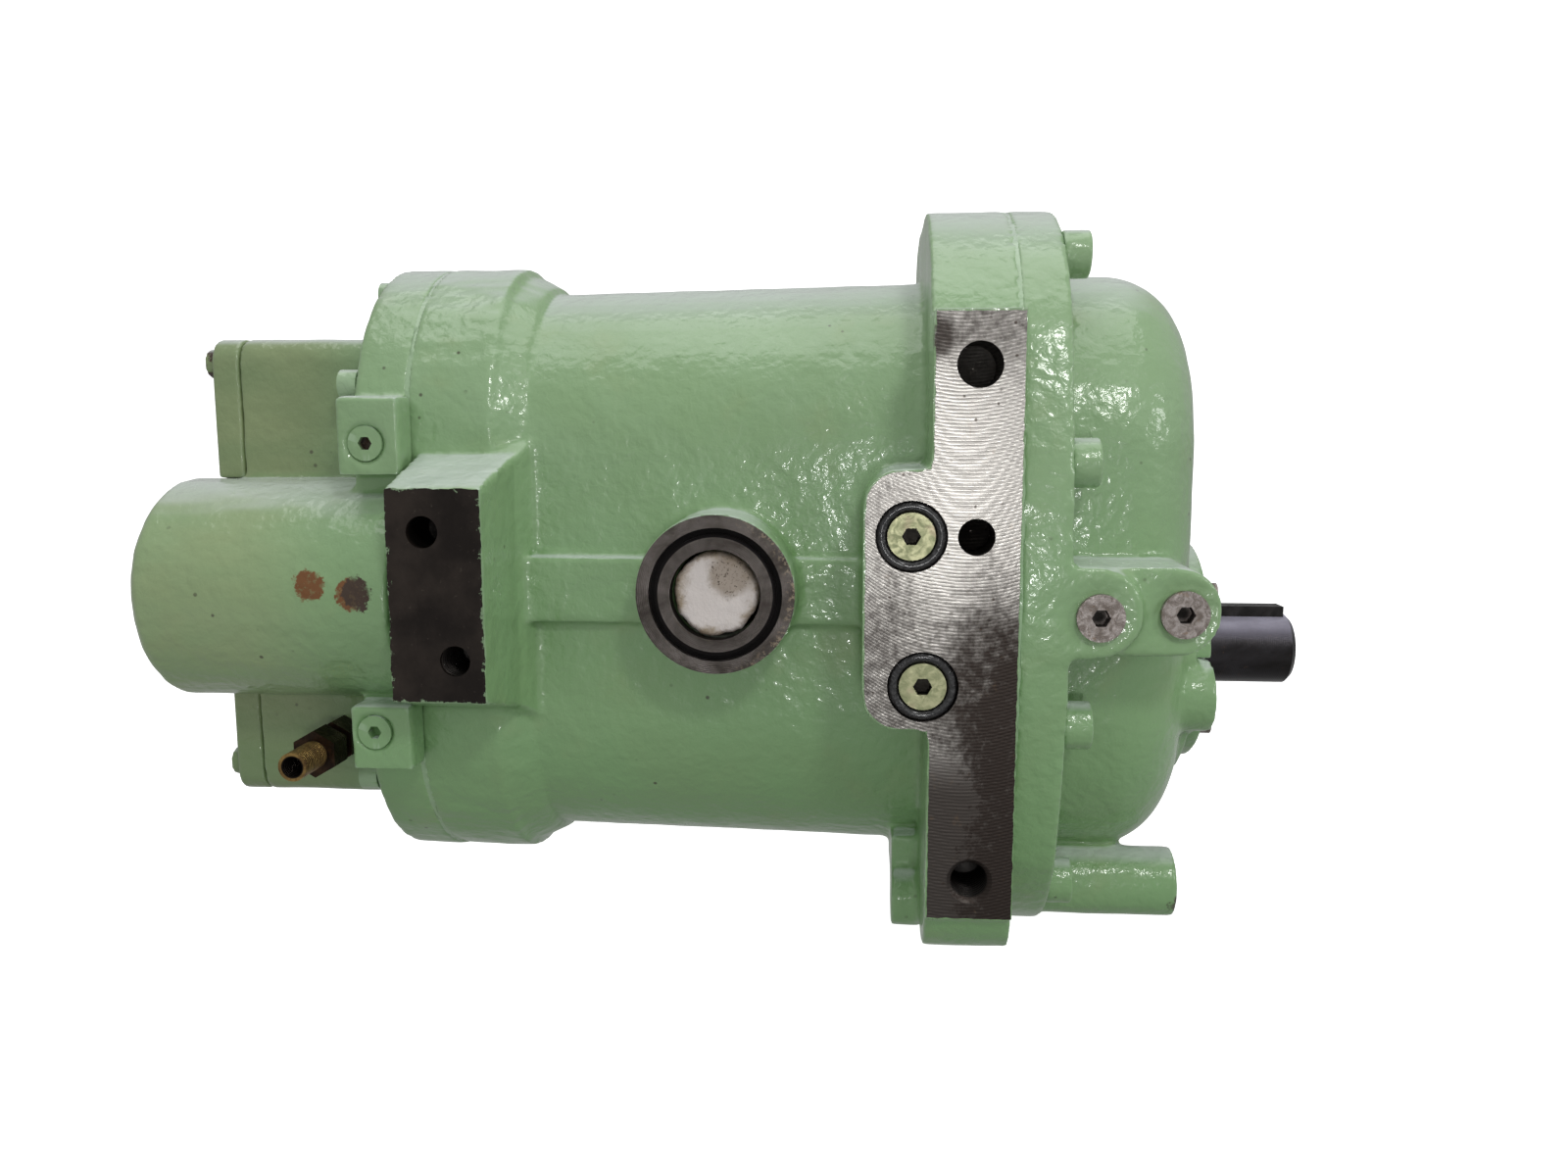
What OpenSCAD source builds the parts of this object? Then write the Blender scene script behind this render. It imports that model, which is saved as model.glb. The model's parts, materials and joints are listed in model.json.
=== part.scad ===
// Twin-screw rotary machine with a geared drive shaft and a slide-valve control cylinder.
// Frame: +X runs along the drive shaft and +Z is up.
// The machined foot face is the plane y = 0, and the body lies behind it at y > 0.
// The origin is on that face, on the line of the foot holes, level with the rotor mid plane.

/* [Casing] */
// Depth of the rotor axes behind the foot face
axis_y = 115; // [112:1:118]
// Half height of the barrel at its ring end
barrel_half = 125; // [122:1:127]
// Radius of the barrel's rounded top and bottom
barrel_r = 72; // [70:0.5:74]
// Half height of the ring flange and the end housing
ring_half = 136.5; // [134:0.5:139]
// Height of the drive flange above the rotor mid plane
flange_top = 158.4; // [157:0.2:160]
// Depth of the back of the drive flange
flange_back = 220; // [214:1:226]
// Half height of the domed drive cover
dome_half = 130; // [128:1:132]
// Rounding of the dome's outer edge
dome_edge_r = 32; // [28:1:34]

/* [Rotors] */
// Distance between the two rotor axes
rotor_spacing = 88; // [87.5:0.25:89]
// Radius of the round lobes and flutes before clearance
lobe_r = 19; // [18:0.25:19.25]
// Gap left between the meshing rotors
rotor_gap = 0.4; // [0.3:0.05:0.6]
// Turn of the male rotor's helix over its length, in degrees
male_wrap = 210; // [150:10:240]

/* [Drive] */
// Diameter of the free shaft end
shaft_d = 32; // [30:1:32]
// Tip of the shaft
shaft_end_x = 153.3; // [151:0.1:158]
// Width of both gears
gear_w = 28; // [22:1:28]

/* [Slide valve] */
// Radius of the slide
slide_r = 20; // [19:0.5:20]
// Travel of the slide from its spring-held rest
slide_travel = 30; // [20:1:32]
// Outer radius of the control cylinder
cylinder_r = 47.3; // [45:0.1:48]

/* [Fasteners] */
// Thread diameter of the drive cover screws
cover_screw_d = 12; // [10:1:12]
// Thread diameter of the lower foot hole
foot_thread_d = 16; // [14:1:16]

/* [Hidden] */
$fn = 72;
eps = 0.01;
gap = 0.1;
key_room = 0.02;

// stations along the machine axis
end_cap_x = -325;
end_plate_t = 12;
end_box_x = end_cap_x + end_plate_t;
end_face_x = -253;
end_joint_x = -230;
gasket_t = 0.5;
ring_x = -195.5;
ring_r = 78;
ring_end_z = ring_half - ring_r;
ring_up = 1;
barrel_x = -183;
barrel_spread = 3.5;
barrel_end_z = barrel_half - barrel_r;
barrel_up = 1.2;
flange_x = -17;
cover_joint_x = 16.5;
cover_face_x = 36;
dome_face_x = 94;
dome_r = 80;
dome_up = 2;
hub_face_x = 98;
boss_end_x = 105;
boss_r = 15.5;
boss_y = 66;
boss_z = -48;
seal_cover_x = 106;

// rotor geometry: pitch radii share the spacing in the ratio of the 4 lobes and 6 flutes
male_lobes = 4;
female_flutes = 6;
male_pitch = rotor_spacing * male_lobes / (male_lobes + female_flutes);
female_pitch = rotor_spacing * female_flutes / (male_lobes + female_flutes);
male_z = rotor_spacing / 2;
female_z = -rotor_spacing / 2;
male_bore = 55;
female_bore = 53.5;
rotor_x0 = end_joint_x;
rotor_x1 = -41;
rotor_bore_x = -40;
rotor_slices = 20;

// bearings of the rotor journals: bore, outside, and stations
journal_r = 15;
rotor_bearing_r = 31;
drive_bearing_x = -36;
drive_bearing_w = 20;
drive_seat_x = drive_bearing_x + drive_bearing_w;
end_bearing_x = -286;
end_bearing_w = 24;
end_seat_x = end_bearing_x + end_bearing_w;
locknut_w = 10;

// drive shaft and gears
shaft_z = -36;
gear_m = 2.5;
shaft_r = shaft_d / 2;
pinion_teeth = 23;
wheel_teeth = 41;
gear_x = 38;
gear_seat_r = 21;
pinion_seat_r = 14;
inner_bearing_x = -9;
inner_bearing_w = 15;
inner_bearing_r = 26;
inner_journal_r = 12.5;
outer_bearing_x = 76;
outer_bearing_w = 15;
outer_bearing_r = 34;
outer_journal_r = 20;
spacer_x = gear_x + gear_w;
shaft_step_x = outer_bearing_x + outer_bearing_w + 0.5;
seal_r = 26;
key_w = 10;
key_h = 8;
key_x0 = 107;
key_len = 43;

// slide valve and control cylinder
slide_y = 66;
slide_x0 = -205;
slide_x1 = -85;
slide_bore_x = -48;
rod_r = 8;
piston_r = 25.92;
cylinder_bore = 26;
piston_w = 16;
piston_x = -319;
cylinder_bottom_x = -322;
cylinder_end_x = -339;
cylinder_y = 57;
cylinder_z = -4;
gland_w = 15;
gland_x = end_joint_x - gasket_t - gland_w;
spring_x0 = piston_x + piston_w;
spring_len = gland_x - spring_x0;
spring_r = 17;
wire_r = 1.75;
spring_turns = 6;
spring_steps = 14 * spring_turns;
wire_sides = 8;

// machined pads and ports on the front
pad_top = 108;
pad_bottom = -124;
ear_x = -42;
ear_top = 50;
ear_bottom = -49;
ear_corner_r = 14;
rear_pad_x0 = -225.7;
rear_pad_x1 = -187.5;
rear_pad_top = 42.5;
rear_pad_bottom = -41.5;
port_x = -100;
port_face_y = 16;
port_r = 32;
port_bore = 18;
flange_front = 2;

// outline of the drive flange: a shallow front arc runs into large corner circles
front_corner_y = 106;
front_corner_z = 62;
front_corner_r = flange_top - front_corner_z;
front_arc_r = 320;
front_arc_y = flange_front + front_arc_r;
front_cut_z = 88;

// plug and screw places, as [x, z] on the front
ear_plugs = [[-24, 25], [-19, -32]];
lug_plugs = [[46.5, -5], [78.5, -4.2]];
lug_faces = [2, 7];
block_plugs = [[-241, 59], [-242.7, -59.5]];
block_face_y = 21;
plug_shank_r = 6.6;
plug_head_r = 9;

// screw places, as [y, z] seen along the shaft
cover_screws = [[18, 52], [18, -50], [55, 134], [50, -126], [205, 52], [205, -50], [165, 134], [180, -130]];
end_screws = [[48, 83], [94, 124], [136, 124], [182, 83], [50, -86], [94, -122], [136, -122], [180, -86]];
plate_screws = [[70, 93], [160, 93], [70, -87], [160, -87], [162, 3]];
seal_screws = [for (a = [45:90:315]) [axis_y + 41 * cos(a), shaft_z + 41 * sin(a)]];
cover_dowels = [[30, 106], [200, -100]];
end_dowels = [[115, 125], [115, -125]];

fitting_x = -273.5;
fitting_z = -72;
box_y0 = 60;
box_y1 = 170;
box_top = 103.5;
box_bottom = -99.5;
back_port_y = 206;
back_port_r = 26;
back_bolt_r = 46;

// ---------- shared shapes ----------

// round bar along +X
module bar_x(x, len, r, y = axis_y, z = 0) {
    translate([x, y, z])
        rotate([0, 90, 0])
            cylinder(h = len, r = r);
}

// cone frustum along +X
module cone_x(x, len, r1, r2, y = axis_y, z = 0) {
    translate([x, y, z])
        rotate([0, 90, 0])
            cylinder(h = len, r1 = r1, r2 = r2);
}

// round bar along +Y, into the front of the machine
module bar_y(x, z, y, len, r) {
    translate([x, y, z])
        rotate([-90, 0, 0])
            cylinder(h = len, r = r);
}

// drilled hole along +Y with a conical bottom
module drill_y(x, z, y, len, r) {
    bar_y(x, z, y, len, r);
    translate([x, y + len - eps, z])
        rotate([-90, 0, 0])
            cylinder(h = r * 0.55, r1 = r, r2 = 0.2);
}

// outline drawn in y and z, pushed along +X
module along_x(x, len) {
    translate([x, 0, 0])
        rotate([90, 0, 90])
            linear_extrude(height = len)
                children();
}

// outline drawn in x and z, pushed along +Y
module along_y(y, len) {
    translate([0, y + len, 0])
        rotate([90, 0, 0])
            linear_extrude(height = len)
                children();
}

// upright obround, its middle raised above the rotor mid plane
module obround(half, r, up) {
    for (s = [-1, 1])
        translate([axis_y, up + s * (half - r)])
            circle(r = r);
    translate([axis_y - r, up - (half - r)])
        square([2 * r, 2 * (half - r)]);
}

// rectangle with its own radius at each corner, front top first and then clockwise
module round_rect(y0, y1, z0, z1, r) {
    corners = [[y0, z1, 1, -1], [y1, z1, -1, -1], [y1, z0, -1, 1], [y0, z0, 1, 1]];
    difference() {
        translate([y0, z0])
            square([y1 - y0, z1 - z0]);
        for (i = [0:3])
            if (r[i] > 0)
                translate([corners[i][0], corners[i][1]])
                    corner_cut(corners[i][2], corners[i][3], r[i]);
    }
}

// what a rounding of radius r takes off a corner that opens towards (side_y, side_z)
module corner_cut(side_y, side_z, r) {
    difference() {
        translate([side_y > 0 ? -1 : -r, side_z > 0 ? -1 : -r])
            square(r + 1);
        translate([side_y * r, side_z * r])
            circle(r = r);
    }
}

// outline of the drive flange and of the cover that closes it
module flange_outline(inset = 0) {
    difference() {
        round_rect(flange_front + inset, flange_back - inset, -flange_top + inset, flange_top - inset,
            [0, 60, 60, 0]);
        difference() {
            translate([0, -flange_top - 1])
                square([front_corner_y, 2 * flange_top + 2]);
            translate([front_arc_y, 0])
                circle(r = front_arc_r - inset, $fn = 180);
        }
        for (s = [-1, 1])
            difference() {
                translate([0, s > 0 ? front_cut_z : -flange_top - 1])
                    square([front_corner_y, flange_top + 1 - front_cut_z]);
                translate([front_corner_y, s * front_corner_z])
                    circle(r = front_corner_r - inset, $fn = 96);
            }
    }
}

module box_outline() {
    round_rect(box_y0, box_y1, box_bottom, box_top, [10, 16, 16, 10]);
}

// obround block whose right-hand edge is rounded
module domed_block(x0, x1, half, r, edge) {
    for (s = [-1, 1])
        translate([x0, axis_y, dome_up + s * (half - r)])
            rotate([0, 90, 0])
                rotate_extrude()
                    dome_half_profile(x1 - x0, r, edge);
    translate([0, 0, dome_up - (half - r)])
        linear_extrude(height = 2 * (half - r))
            dome_full_profile(x0, x1, r, edge);
}

// profile of one dome end: radius across, depth up
module dome_half_profile(len, r, edge) {
    square([r - edge, len]);
    square([r, len - edge]);
    intersection() {
        translate([r - edge, len - edge])
            circle(r = edge);
        square([r, len]);
    }
}

// profile of the dome's straight middle, drawn in x and y
module dome_full_profile(x0, x1, r, edge) {
    translate([x0, axis_y - r])
        square([x1 - x0 - edge, 2 * r]);
    translate([x0, axis_y - r + edge])
        square([x1 - x0, 2 * (r - edge)]);
    for (s = [-1, 1])
        translate([x1 - edge, axis_y + s * (r - edge)])
            circle(r = edge);
}

module screw_holes(places, x, len, r) {
    for (p = places)
        bar_x(x, len, r, p[0], p[1]);
}

// socket cap screw lying along X: head on the right when side is 1, on the left when it is -1
module cap_screw(p, seat_x, side, d, len, head_h) {
    head_r = d * 0.79;
    difference() {
        union() {
            bar_x(side > 0 ? seat_x : seat_x - head_h, head_h, head_r, p[0], p[1]);
            bar_x(side > 0 ? seat_x - len : seat_x - eps, len + eps, d / 2, p[0], p[1]);
        }
        translate([side > 0 ? seat_x + head_h - d / 2 : seat_x - head_h - eps, p[0], p[1]])
            rotate([0, 90, 0])
                cylinder(h = d / 2 + eps, r = d * 0.45, $fn = 6);
    }
}

// hexagon-socket screw plug facing -Y, with its collar face at y
module socket_plug(x, z, y, head_r, head_h, shank_len) {
    difference() {
        union() {
            bar_y(x, z, y, head_h, head_r);
            bar_y(x, z, y + head_h - eps, shank_len, plug_shank_r);
        }
        translate([x, y - eps, z])
            rotate([-90, 0, 0])
                cylinder(h = 6, r = 3.6, $fn = 6);
    }
}

// ---------- castings ----------

module rotor_housing() {
    color("darkseagreen")
        difference() {
            housing_body();
            housing_cavities();
            housing_front_holes();
            housing_joint_holes();
        }
}

module housing_body() {
    tapered_oval(barrel_x - eps, flange_x + eps, barrel_r, barrel_r + barrel_spread, barrel_end_z,
        barrel_up);
    along_x(end_joint_x, ring_x - end_joint_x)
        obround(ring_half, ring_r, ring_up);
    tapered_oval(ring_x - eps, barrel_x, ring_r, barrel_r, (barrel_end_z + ring_end_z) / 2, barrel_up);
    along_x(flange_x, cover_joint_x - flange_x)
        flange_outline();
    foot_pad();
    rear_pad_pedestal();
    bar_y(port_x, 0, port_face_y, 60, port_r);
    translate([ring_x - eps, 37, -15])
        cube([ear_x - ring_x + 2 * eps, 12, 27]);
    bar_y(port_x, 0, 170, back_port_y - 170, 60);
    for (y = [55, 168])
        bar_x(flange_x - 12, 13, 12.5, y, -137);
    translate([flange_x - 12, 55, -137])
        cube([13, 113, 27]);
    along_x(flange_x, cover_joint_x - flange_x)
        round_rect(flange_front, 64, -145, -100, [0, 0, 0, 28]);
}

// upright oval body whose end radius changes from r0 to r1 along X
module tapered_oval(x0, x1, r0, r1, end_z, up) {
    for (s = [-1, 1])
        cone_x(x0, x1 - x0, r0, r1, axis_y, up + s * end_z);
    translate([0, 0, up - end_z])
        linear_extrude(height = 2 * end_z)
            polygon([[x0, axis_y - r0], [x1, axis_y - r1], [x1, axis_y + r1], [x0, axis_y + r0]]);
}

// machined strip of the drive flange with its ear
module foot_pad() {
    translate([flange_x, 0, pad_bottom])
        cube([cover_joint_x - flange_x, 45, pad_top - pad_bottom]);
    along_y(0, 60)
        union() {
            translate([ear_x + ear_corner_r, ear_bottom])
                square([flange_x - ear_x - ear_corner_r + eps, ear_top - ear_bottom]);
            translate([ear_x, ear_bottom + ear_corner_r])
                square([ear_corner_r + eps, ear_top - ear_bottom - 2 * ear_corner_r]);
            for (z = [ear_bottom + ear_corner_r, ear_top - ear_corner_r])
                translate([ear_x + ear_corner_r, z])
                    circle(r = ear_corner_r);
        }
}

// pedestal of the second machined pad, spreading on three sides towards the ring
module rear_pad_pedestal() {
    foot = 62;
    intersection() {
        along_x(rear_pad_x0, 60)
            polygon([[0, rear_pad_top], [36, rear_pad_top + 12], [46, rear_pad_top + 21],
                [foot, rear_pad_top + 21], [foot, rear_pad_bottom - 17], [46, rear_pad_bottom - 17],
                [36, rear_pad_bottom - 10], [0, rear_pad_bottom]]);
        translate([0, 0, -80])
            linear_extrude(height = 160)
                polygon([[rear_pad_x0, 0], [rear_pad_x1, 0], [rear_pad_x1 + 3, 33],
                    [rear_pad_x1 + 9, 45], [rear_pad_x1 + 9, foot], [rear_pad_x0, foot]]);
    }
}

module housing_cavities() {
    bar_x(rotor_x0 - 1, rotor_bore_x - rotor_x0 + 1, male_bore, axis_y, male_z);
    bar_x(rotor_x0 - 1, rotor_bore_x - rotor_x0 + 1, female_bore, axis_y, female_z);
    bar_x(end_joint_x - 1, slide_bore_x - end_joint_x + 1, slide_r + 0.05, slide_y);
    for (z = [male_z, female_z])
        bar_x(rotor_bore_x - eps, drive_seat_x - rotor_bore_x + eps, rotor_bearing_r, axis_y, z);
    bar_x(drive_seat_x - eps, 60, 20, axis_y, male_z);
    bar_x(inner_bearing_x, 60, inner_bearing_r, axis_y, shaft_z);
    bar_y(port_x, 0, port_face_y - 1, slide_y - port_face_y, port_bore);
    difference() {
        bar_y(port_x, 0, port_face_y - 1, 4, port_r - 5.5);
        bar_y(port_x, 0, port_face_y - 2, 6, port_r - 8);
    }
    bar_y(port_x, 0, axis_y + 20, 100, back_port_r);
}

module housing_front_holes() {
    drill_y(0, 88, -1, 31, 8.5);
    drill_y(0, 25, -1, 25, 6.9);
    drill_y(0, -108, -1, 31, foot_thread_d / 2 - 1);
    translate([0, -eps, -108])
        rotate([-90, 0, 0])
            cylinder(h = 1.6, r1 = foot_thread_d / 2 + 0.8, r2 = foot_thread_d / 2 - 1);
    drill_y(-210.9, 25.5, -1, 25, 6.25);
    drill_y(-199.6, -24.7, -1, 25, 6);
    for (p = ear_plugs) {
        bar_y(p[0], p[1], -1, 5.5, 13.5);
        bar_y(p[0], p[1], 0, 20, plug_shank_r + gap);
    }
    for (a = [45:90:315])
        bar_y(port_x + back_bolt_r * cos(a), back_bolt_r * sin(a), back_port_y - 20, 30, 5.1);
}

module housing_joint_holes() {
    screw_holes(cover_screws, cover_joint_x - 22, 30, cover_screw_d / 2 + gap);
    screw_holes(end_screws, end_joint_x - 1, 22, 4 + gap);
    screw_holes(cover_dowels, cover_joint_x - 12, 20, 5);
    screw_holes(end_dowels, end_joint_x - 1, 13, 4);
}

module end_housing() {
    joint = end_joint_x - gasket_t;
    color("darkseagreen")
        difference() {
            union() {
                along_x(end_face_x, joint - end_face_x)
                    obround(ring_half, ring_r, ring_up);
                along_x(end_box_x, end_face_x - end_box_x + 1)
                    box_outline();
                control_cylinder_body();
                plug_blocks();
            }
            end_housing_cavities();
            screw_holes(end_screws, end_face_x - 1, 50, 4 + 2 * gap);
            screw_holes(end_dowels, joint - 12, 20, 4);
            screw_holes(plate_screws, end_box_x - 1, 21, 4 + gap);
            bar_y(fitting_x, fitting_z, box_y0 - 30, 42, 6 + gap);
            for (p = block_plugs) {
                bar_y(p[0], p[1], block_face_y - 1, 1.6, 8.6);
                bar_y(p[0], p[1], block_face_y, 4, 7.1);
                bar_y(p[0], p[1], block_face_y, 16, plug_shank_r - 1 + gap);
            }
        }
}

// blind cylinder standing in front of the bearing box, with a chamfered closed end
module control_cylinder_body() {
    chamfer = 4;
    bar_x(cylinder_end_x + chamfer, end_joint_x - gasket_t - cylinder_end_x - chamfer, cylinder_r,
        cylinder_y, cylinder_z);
    cone_x(cylinder_end_x, chamfer + eps, cylinder_r - chamfer, cylinder_r, cylinder_y, cylinder_z);
}

// two square bosses that carry the gallery plugs, standing a little over the joint
module plug_blocks() {
    joint = end_joint_x - gasket_t;
    left = end_face_x;
    over = 3.5;
    for (z = [[46.5, 77.7], [-75.2, -48.4]]) {
        translate([left, block_face_y, z[0]])
            cube([joint + over - left, 15, z[1] - z[0]]);
        translate([left, block_face_y, z[0]])
            cube([joint - left, 45, z[1] - z[0]]);
    }
}

module end_housing_cavities() {
    for (z = [male_z, female_z]) {
        bar_x(end_seat_x - 1, 60, journal_r + 1.5, axis_y, z);
        bar_x(end_box_x - 1, end_seat_x - end_box_x + 1, rotor_bearing_r, axis_y, z);
    }
    bar_x(cylinder_bottom_x, end_joint_x - cylinder_bottom_x, cylinder_bore, slide_y);
}

// plate that closes the bearing box, notched around the control cylinder
module end_plate() {
    color("darkseagreen")
        difference() {
            along_x(end_cap_x, end_plate_t)
                box_outline();
            bar_x(end_cap_x - 1, end_plate_t + 2, cylinder_r + 0.3, cylinder_y, cylinder_z);
            screw_holes(plate_screws, end_cap_x - 1, end_plate_t + 2, 4 + 3 * gap);
            screw_holes(plate_screws, end_cap_x - 1, 4, 7);
        }
}

module drive_cover() {
    joint = cover_joint_x + gasket_t;
    wall = 12;
    color("darkseagreen")
        difference() {
            union() {
                difference() {
                    union() {
                        along_x(joint, cover_face_x - joint)
                            flange_outline();
                        domed_block(cover_face_x - 1, dome_face_x, dome_half, dome_r, dome_edge_r);
                        bar_x(60, hub_face_x - 60, 58, axis_y, shaft_z);
                        cover_lug();
                        bar_x(cover_face_x - 1, 60, 15, 74, -134.5);
                        bar_x(70, boss_end_x - 70, boss_r, boss_y, boss_z);
                    }
                    domed_block(joint - 1, dome_face_x - wall, dome_half - wall, dome_r - wall,
                        dome_edge_r - wall);
                }
                bar_x(72, hub_face_x - 72, 44, axis_y, shaft_z);
            }
            bar_x(outer_bearing_x, 40, outer_bearing_r, axis_y, shaft_z);
            bar_x(60, 40, 28.5, axis_y, shaft_z);
            screw_holes(cover_screws, joint - 1, 40, cover_screw_d / 2 + 3 * gap);
            screw_holes(cover_dowels, joint - 1, 13, 5);
            screw_holes(seal_screws, hub_face_x - 14, 20, 3 + gap);
            for (i = [0, 1]) {
                bar_y(lug_plugs[i][0], lug_plugs[i][1], lug_faces[i] - 1, 2, 13.2);
                bar_y(lug_plugs[i][0], lug_plugs[i][1], lug_faces[i], 22, plug_shank_r + gap);
            }
        }
}

// stepped lug beside the foot pad, with two screw plugs
module cover_lug() {
    first = [45, -3.5];
    second = [75.5, -3.5];
    along_y(lug_faces[0], 50)
        union() {
            translate([cover_face_x - 10, first[1] - 17.5])
                square([first[0] - cover_face_x + 10, 35]);
            translate(first)
                circle(r = 17.5);
        }
    along_y(lug_faces[1], 45)
        union() {
            translate([first[0], second[1] - 17])
                square([second[0] - first[0], 34]);
            translate(second)
                circle(r = 17);
        }
}

// cover that holds the shaft seal, notched around the boss beside the hub
module seal_cover() {
    color("darkseagreen")
        difference() {
            union() {
                bar_x(hub_face_x, seal_cover_x - hub_face_x, 50, axis_y, shaft_z);
                bar_x(outer_bearing_x + outer_bearing_w, hub_face_x + 1 - outer_bearing_x - outer_bearing_w,
                    outer_bearing_r - gap, axis_y, shaft_z);
            }
            bar_x(hub_face_x - 1, 20, seal_r, axis_y, shaft_z);
            bar_x(hub_face_x - 1, 20, boss_r + 0.5, boss_y, boss_z);
            bar_x(80, 40, shaft_r + 2, axis_y, shaft_z);
            bar_x(80, shaft_step_x + 1.5 - 80, 29, axis_y, shaft_z);
            screw_holes(seal_screws, hub_face_x - 1, 20, 3 + 3 * gap);
        }
}

// ---------- gaskets ----------

module end_gasket() {
    color("dimgray")
        difference() {
            along_x(end_joint_x - gasket_t, gasket_t)
                obround(ring_half - 0.5, ring_r - 0.5, ring_up);
            for (z = [male_z, female_z])
                bar_x(end_joint_x - 2, 4, male_bore + 1, axis_y, z);
            bar_x(end_joint_x - 2, 4, cylinder_bore + 1, slide_y);
            screw_holes(end_screws, end_joint_x - 2, 4, 5);
            screw_holes(end_dowels, end_joint_x - 2, 4, 5);
        }
}

module cover_gasket() {
    color("dimgray")
        difference() {
            along_x(cover_joint_x, gasket_t)
                flange_outline(0.5);
            along_x(cover_joint_x - 1, 3)
                obround(dome_half - 11, dome_r - 11, dome_up);
            screw_holes(cover_screws, cover_joint_x - 1, 4, 7);
            screw_holes(cover_dowels, cover_joint_x - 1, 4, 6);
        }
}

// ---------- drive shaft and gears ----------

module input_shaft() {
    color("dimgray")
        difference() {
            union() {
                bar_x(inner_bearing_x + 1, 17, inner_journal_r, axis_y, shaft_z);
                bar_x(inner_bearing_x + inner_bearing_w, 26, 16, axis_y, shaft_z);
                bar_x(gear_x - 8, 8, 26, axis_y, shaft_z);
                bar_x(gear_x - eps, gear_w + eps, gear_seat_r, axis_y, shaft_z);
                bar_x(spacer_x - eps, shaft_step_x - spacer_x, outer_journal_r, axis_y, shaft_z);
                bar_x(shaft_step_x - eps, shaft_end_x - 2 - shaft_step_x, shaft_r, axis_y, shaft_z);
                cone_x(shaft_end_x - 2 - 2 * eps, 2, shaft_r, shaft_r - 2, axis_y, shaft_z);
            }
            shaft_key_block(key_room);
            gear_key_block(key_room);
            bar_x(shaft_end_x - 26, 27, 5, axis_y, shaft_z);
        }
}

module shaft_key_block(room) {
    top = shaft_r + 4;
    translate([key_x0 - room, axis_y - key_w / 2 - room, shaft_z + top - key_h - room])
        cube([key_len + 2 * room, key_w + 2 * room, key_h + room]);
}

module shaft_key() {
    color("black")
        shaft_key_block(0);
}

module gear_key_block(room) {
    translate([gear_x + 2 - room, axis_y - 6 - room, shaft_z + gear_seat_r - 5 - room])
        cube([gear_w - 4 + 2 * room, 12 + 2 * room, 8 + room]);
}

module gear_key() {
    color("gray")
        gear_key_block(0);
}

// involute of the unit circle, at roll angle t in degrees
function involute(t) = [cos(t) + t * PI / 180 * sin(t), sin(t) - t * PI / 180 * cos(t)];
function turned(p, a) = [p[0] * cos(a) - p[1] * sin(a), p[0] * sin(a) + p[1] * cos(a)];

// one flank from root to tip, for a tooth centred on angle 0
function flank(teeth, side) =
    let (
        pitch = gear_m * teeth / 2,
        base = pitch * cos(20),
        root = pitch - 1.25 * gear_m,
        tip = pitch + gear_m,
        roll_pitch = tan(20) * 180 / PI,
        roll_tip = sqrt(pow(tip / base, 2) - 1) * 180 / PI,
        half = 90 / teeth - 0.15 * 180 / PI / pitch + roll_pitch - 20,
        start = max(root, base)
    )
    concat([[root * cos(half), -side * root * sin(half)]],
        [for (i = [0:3])
            let (p = base * turned(involute(roll_tip * i / 3), -half))
            [p[0], side * p[1]]]);

// spur gear outline with a tooth on the +Y side of the drawing
module gear_outline(teeth) {
    right = flank(teeth, 1);
    left = flank(teeth, -1);
    tooth = concat(right, [for (i = [4:-1:0]) left[i]]);
    polygon([for (k = [0:teeth - 1]) for (p = tooth) turned(p, 90 + k * 360 / teeth)]);
}

module spur_gear(teeth, z) {
    translate([0, axis_y, z])
        along_x(gear_x, gear_w)
            gear_outline(teeth);
}

module drive_gear() {
    color("silver")
        difference() {
            spur_gear(wheel_teeth, shaft_z);
            bar_x(gear_x - 1, gear_w + 2, gear_seat_r, axis_y, shaft_z);
            translate([gear_x - 1, axis_y - 6 - key_room, shaft_z + gear_seat_r - 2])
                cube([gear_w + 2, 12 + 2 * key_room, 5 + key_room]);
            for (x = [gear_x - 1, gear_x + gear_w - 5])
                difference() {
                    bar_x(x, 6, 43, axis_y, shaft_z);
                    bar_x(x - 1, 8, 30, axis_y, shaft_z);
                }
        }
}

module gear_spacer() {
    color("silver")
        difference() {
            bar_x(spacer_x, outer_bearing_x - spacer_x, 25, axis_y, shaft_z);
            bar_x(spacer_x - 1, 20, outer_journal_r, axis_y, shaft_z);
        }
}

module pinion() {
    color("silver")
        difference() {
            spur_gear(pinion_teeth, male_z);
            bar_x(gear_x - 1, gear_w + 2, pinion_seat_r, axis_y, male_z);
            translate([gear_x - 1, axis_y - 4 - key_room, male_z])
                cube([gear_w + 2, 8 + 2 * key_room, pinion_seat_r + 3 + key_room]);
        }
}

module pinion_key_block(room) {
    translate([gear_x + 2 - room, axis_y - 4 - room, male_z + pinion_seat_r - 4 - room])
        cube([gear_w - 4 + 2 * room, 8 + 2 * room, 7 + room]);
}

module pinion_key() {
    color("gray")
        pinion_key_block(0);
}

// slotted round nut on a shaft end
module locknut(x, w, r, bore, z) {
    difference() {
        bar_x(x, w, r, axis_y, z);
        bar_x(x - 1, w + 2, bore, axis_y, z);
        for (a = [0:90:270])
            translate([x - 1, axis_y, z])
                rotate([a, 0, 0])
                    translate([0, r - 3, -2.5])
                        cube([w + 2, 6, 5]);
    }
}

module pinion_nut() {
    color("gray")
        locknut(gear_x + gear_w, 8, 21, 12, male_z);
}

module male_locknut() {
    color("gray")
        locknut(end_bearing_x - locknut_w, locknut_w, 22, journal_r, male_z);
}

module female_locknut() {
    color("gray")
        locknut(end_bearing_x - locknut_w, locknut_w, 22, journal_r, female_z);
}

// ---------- rotors ----------

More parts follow.
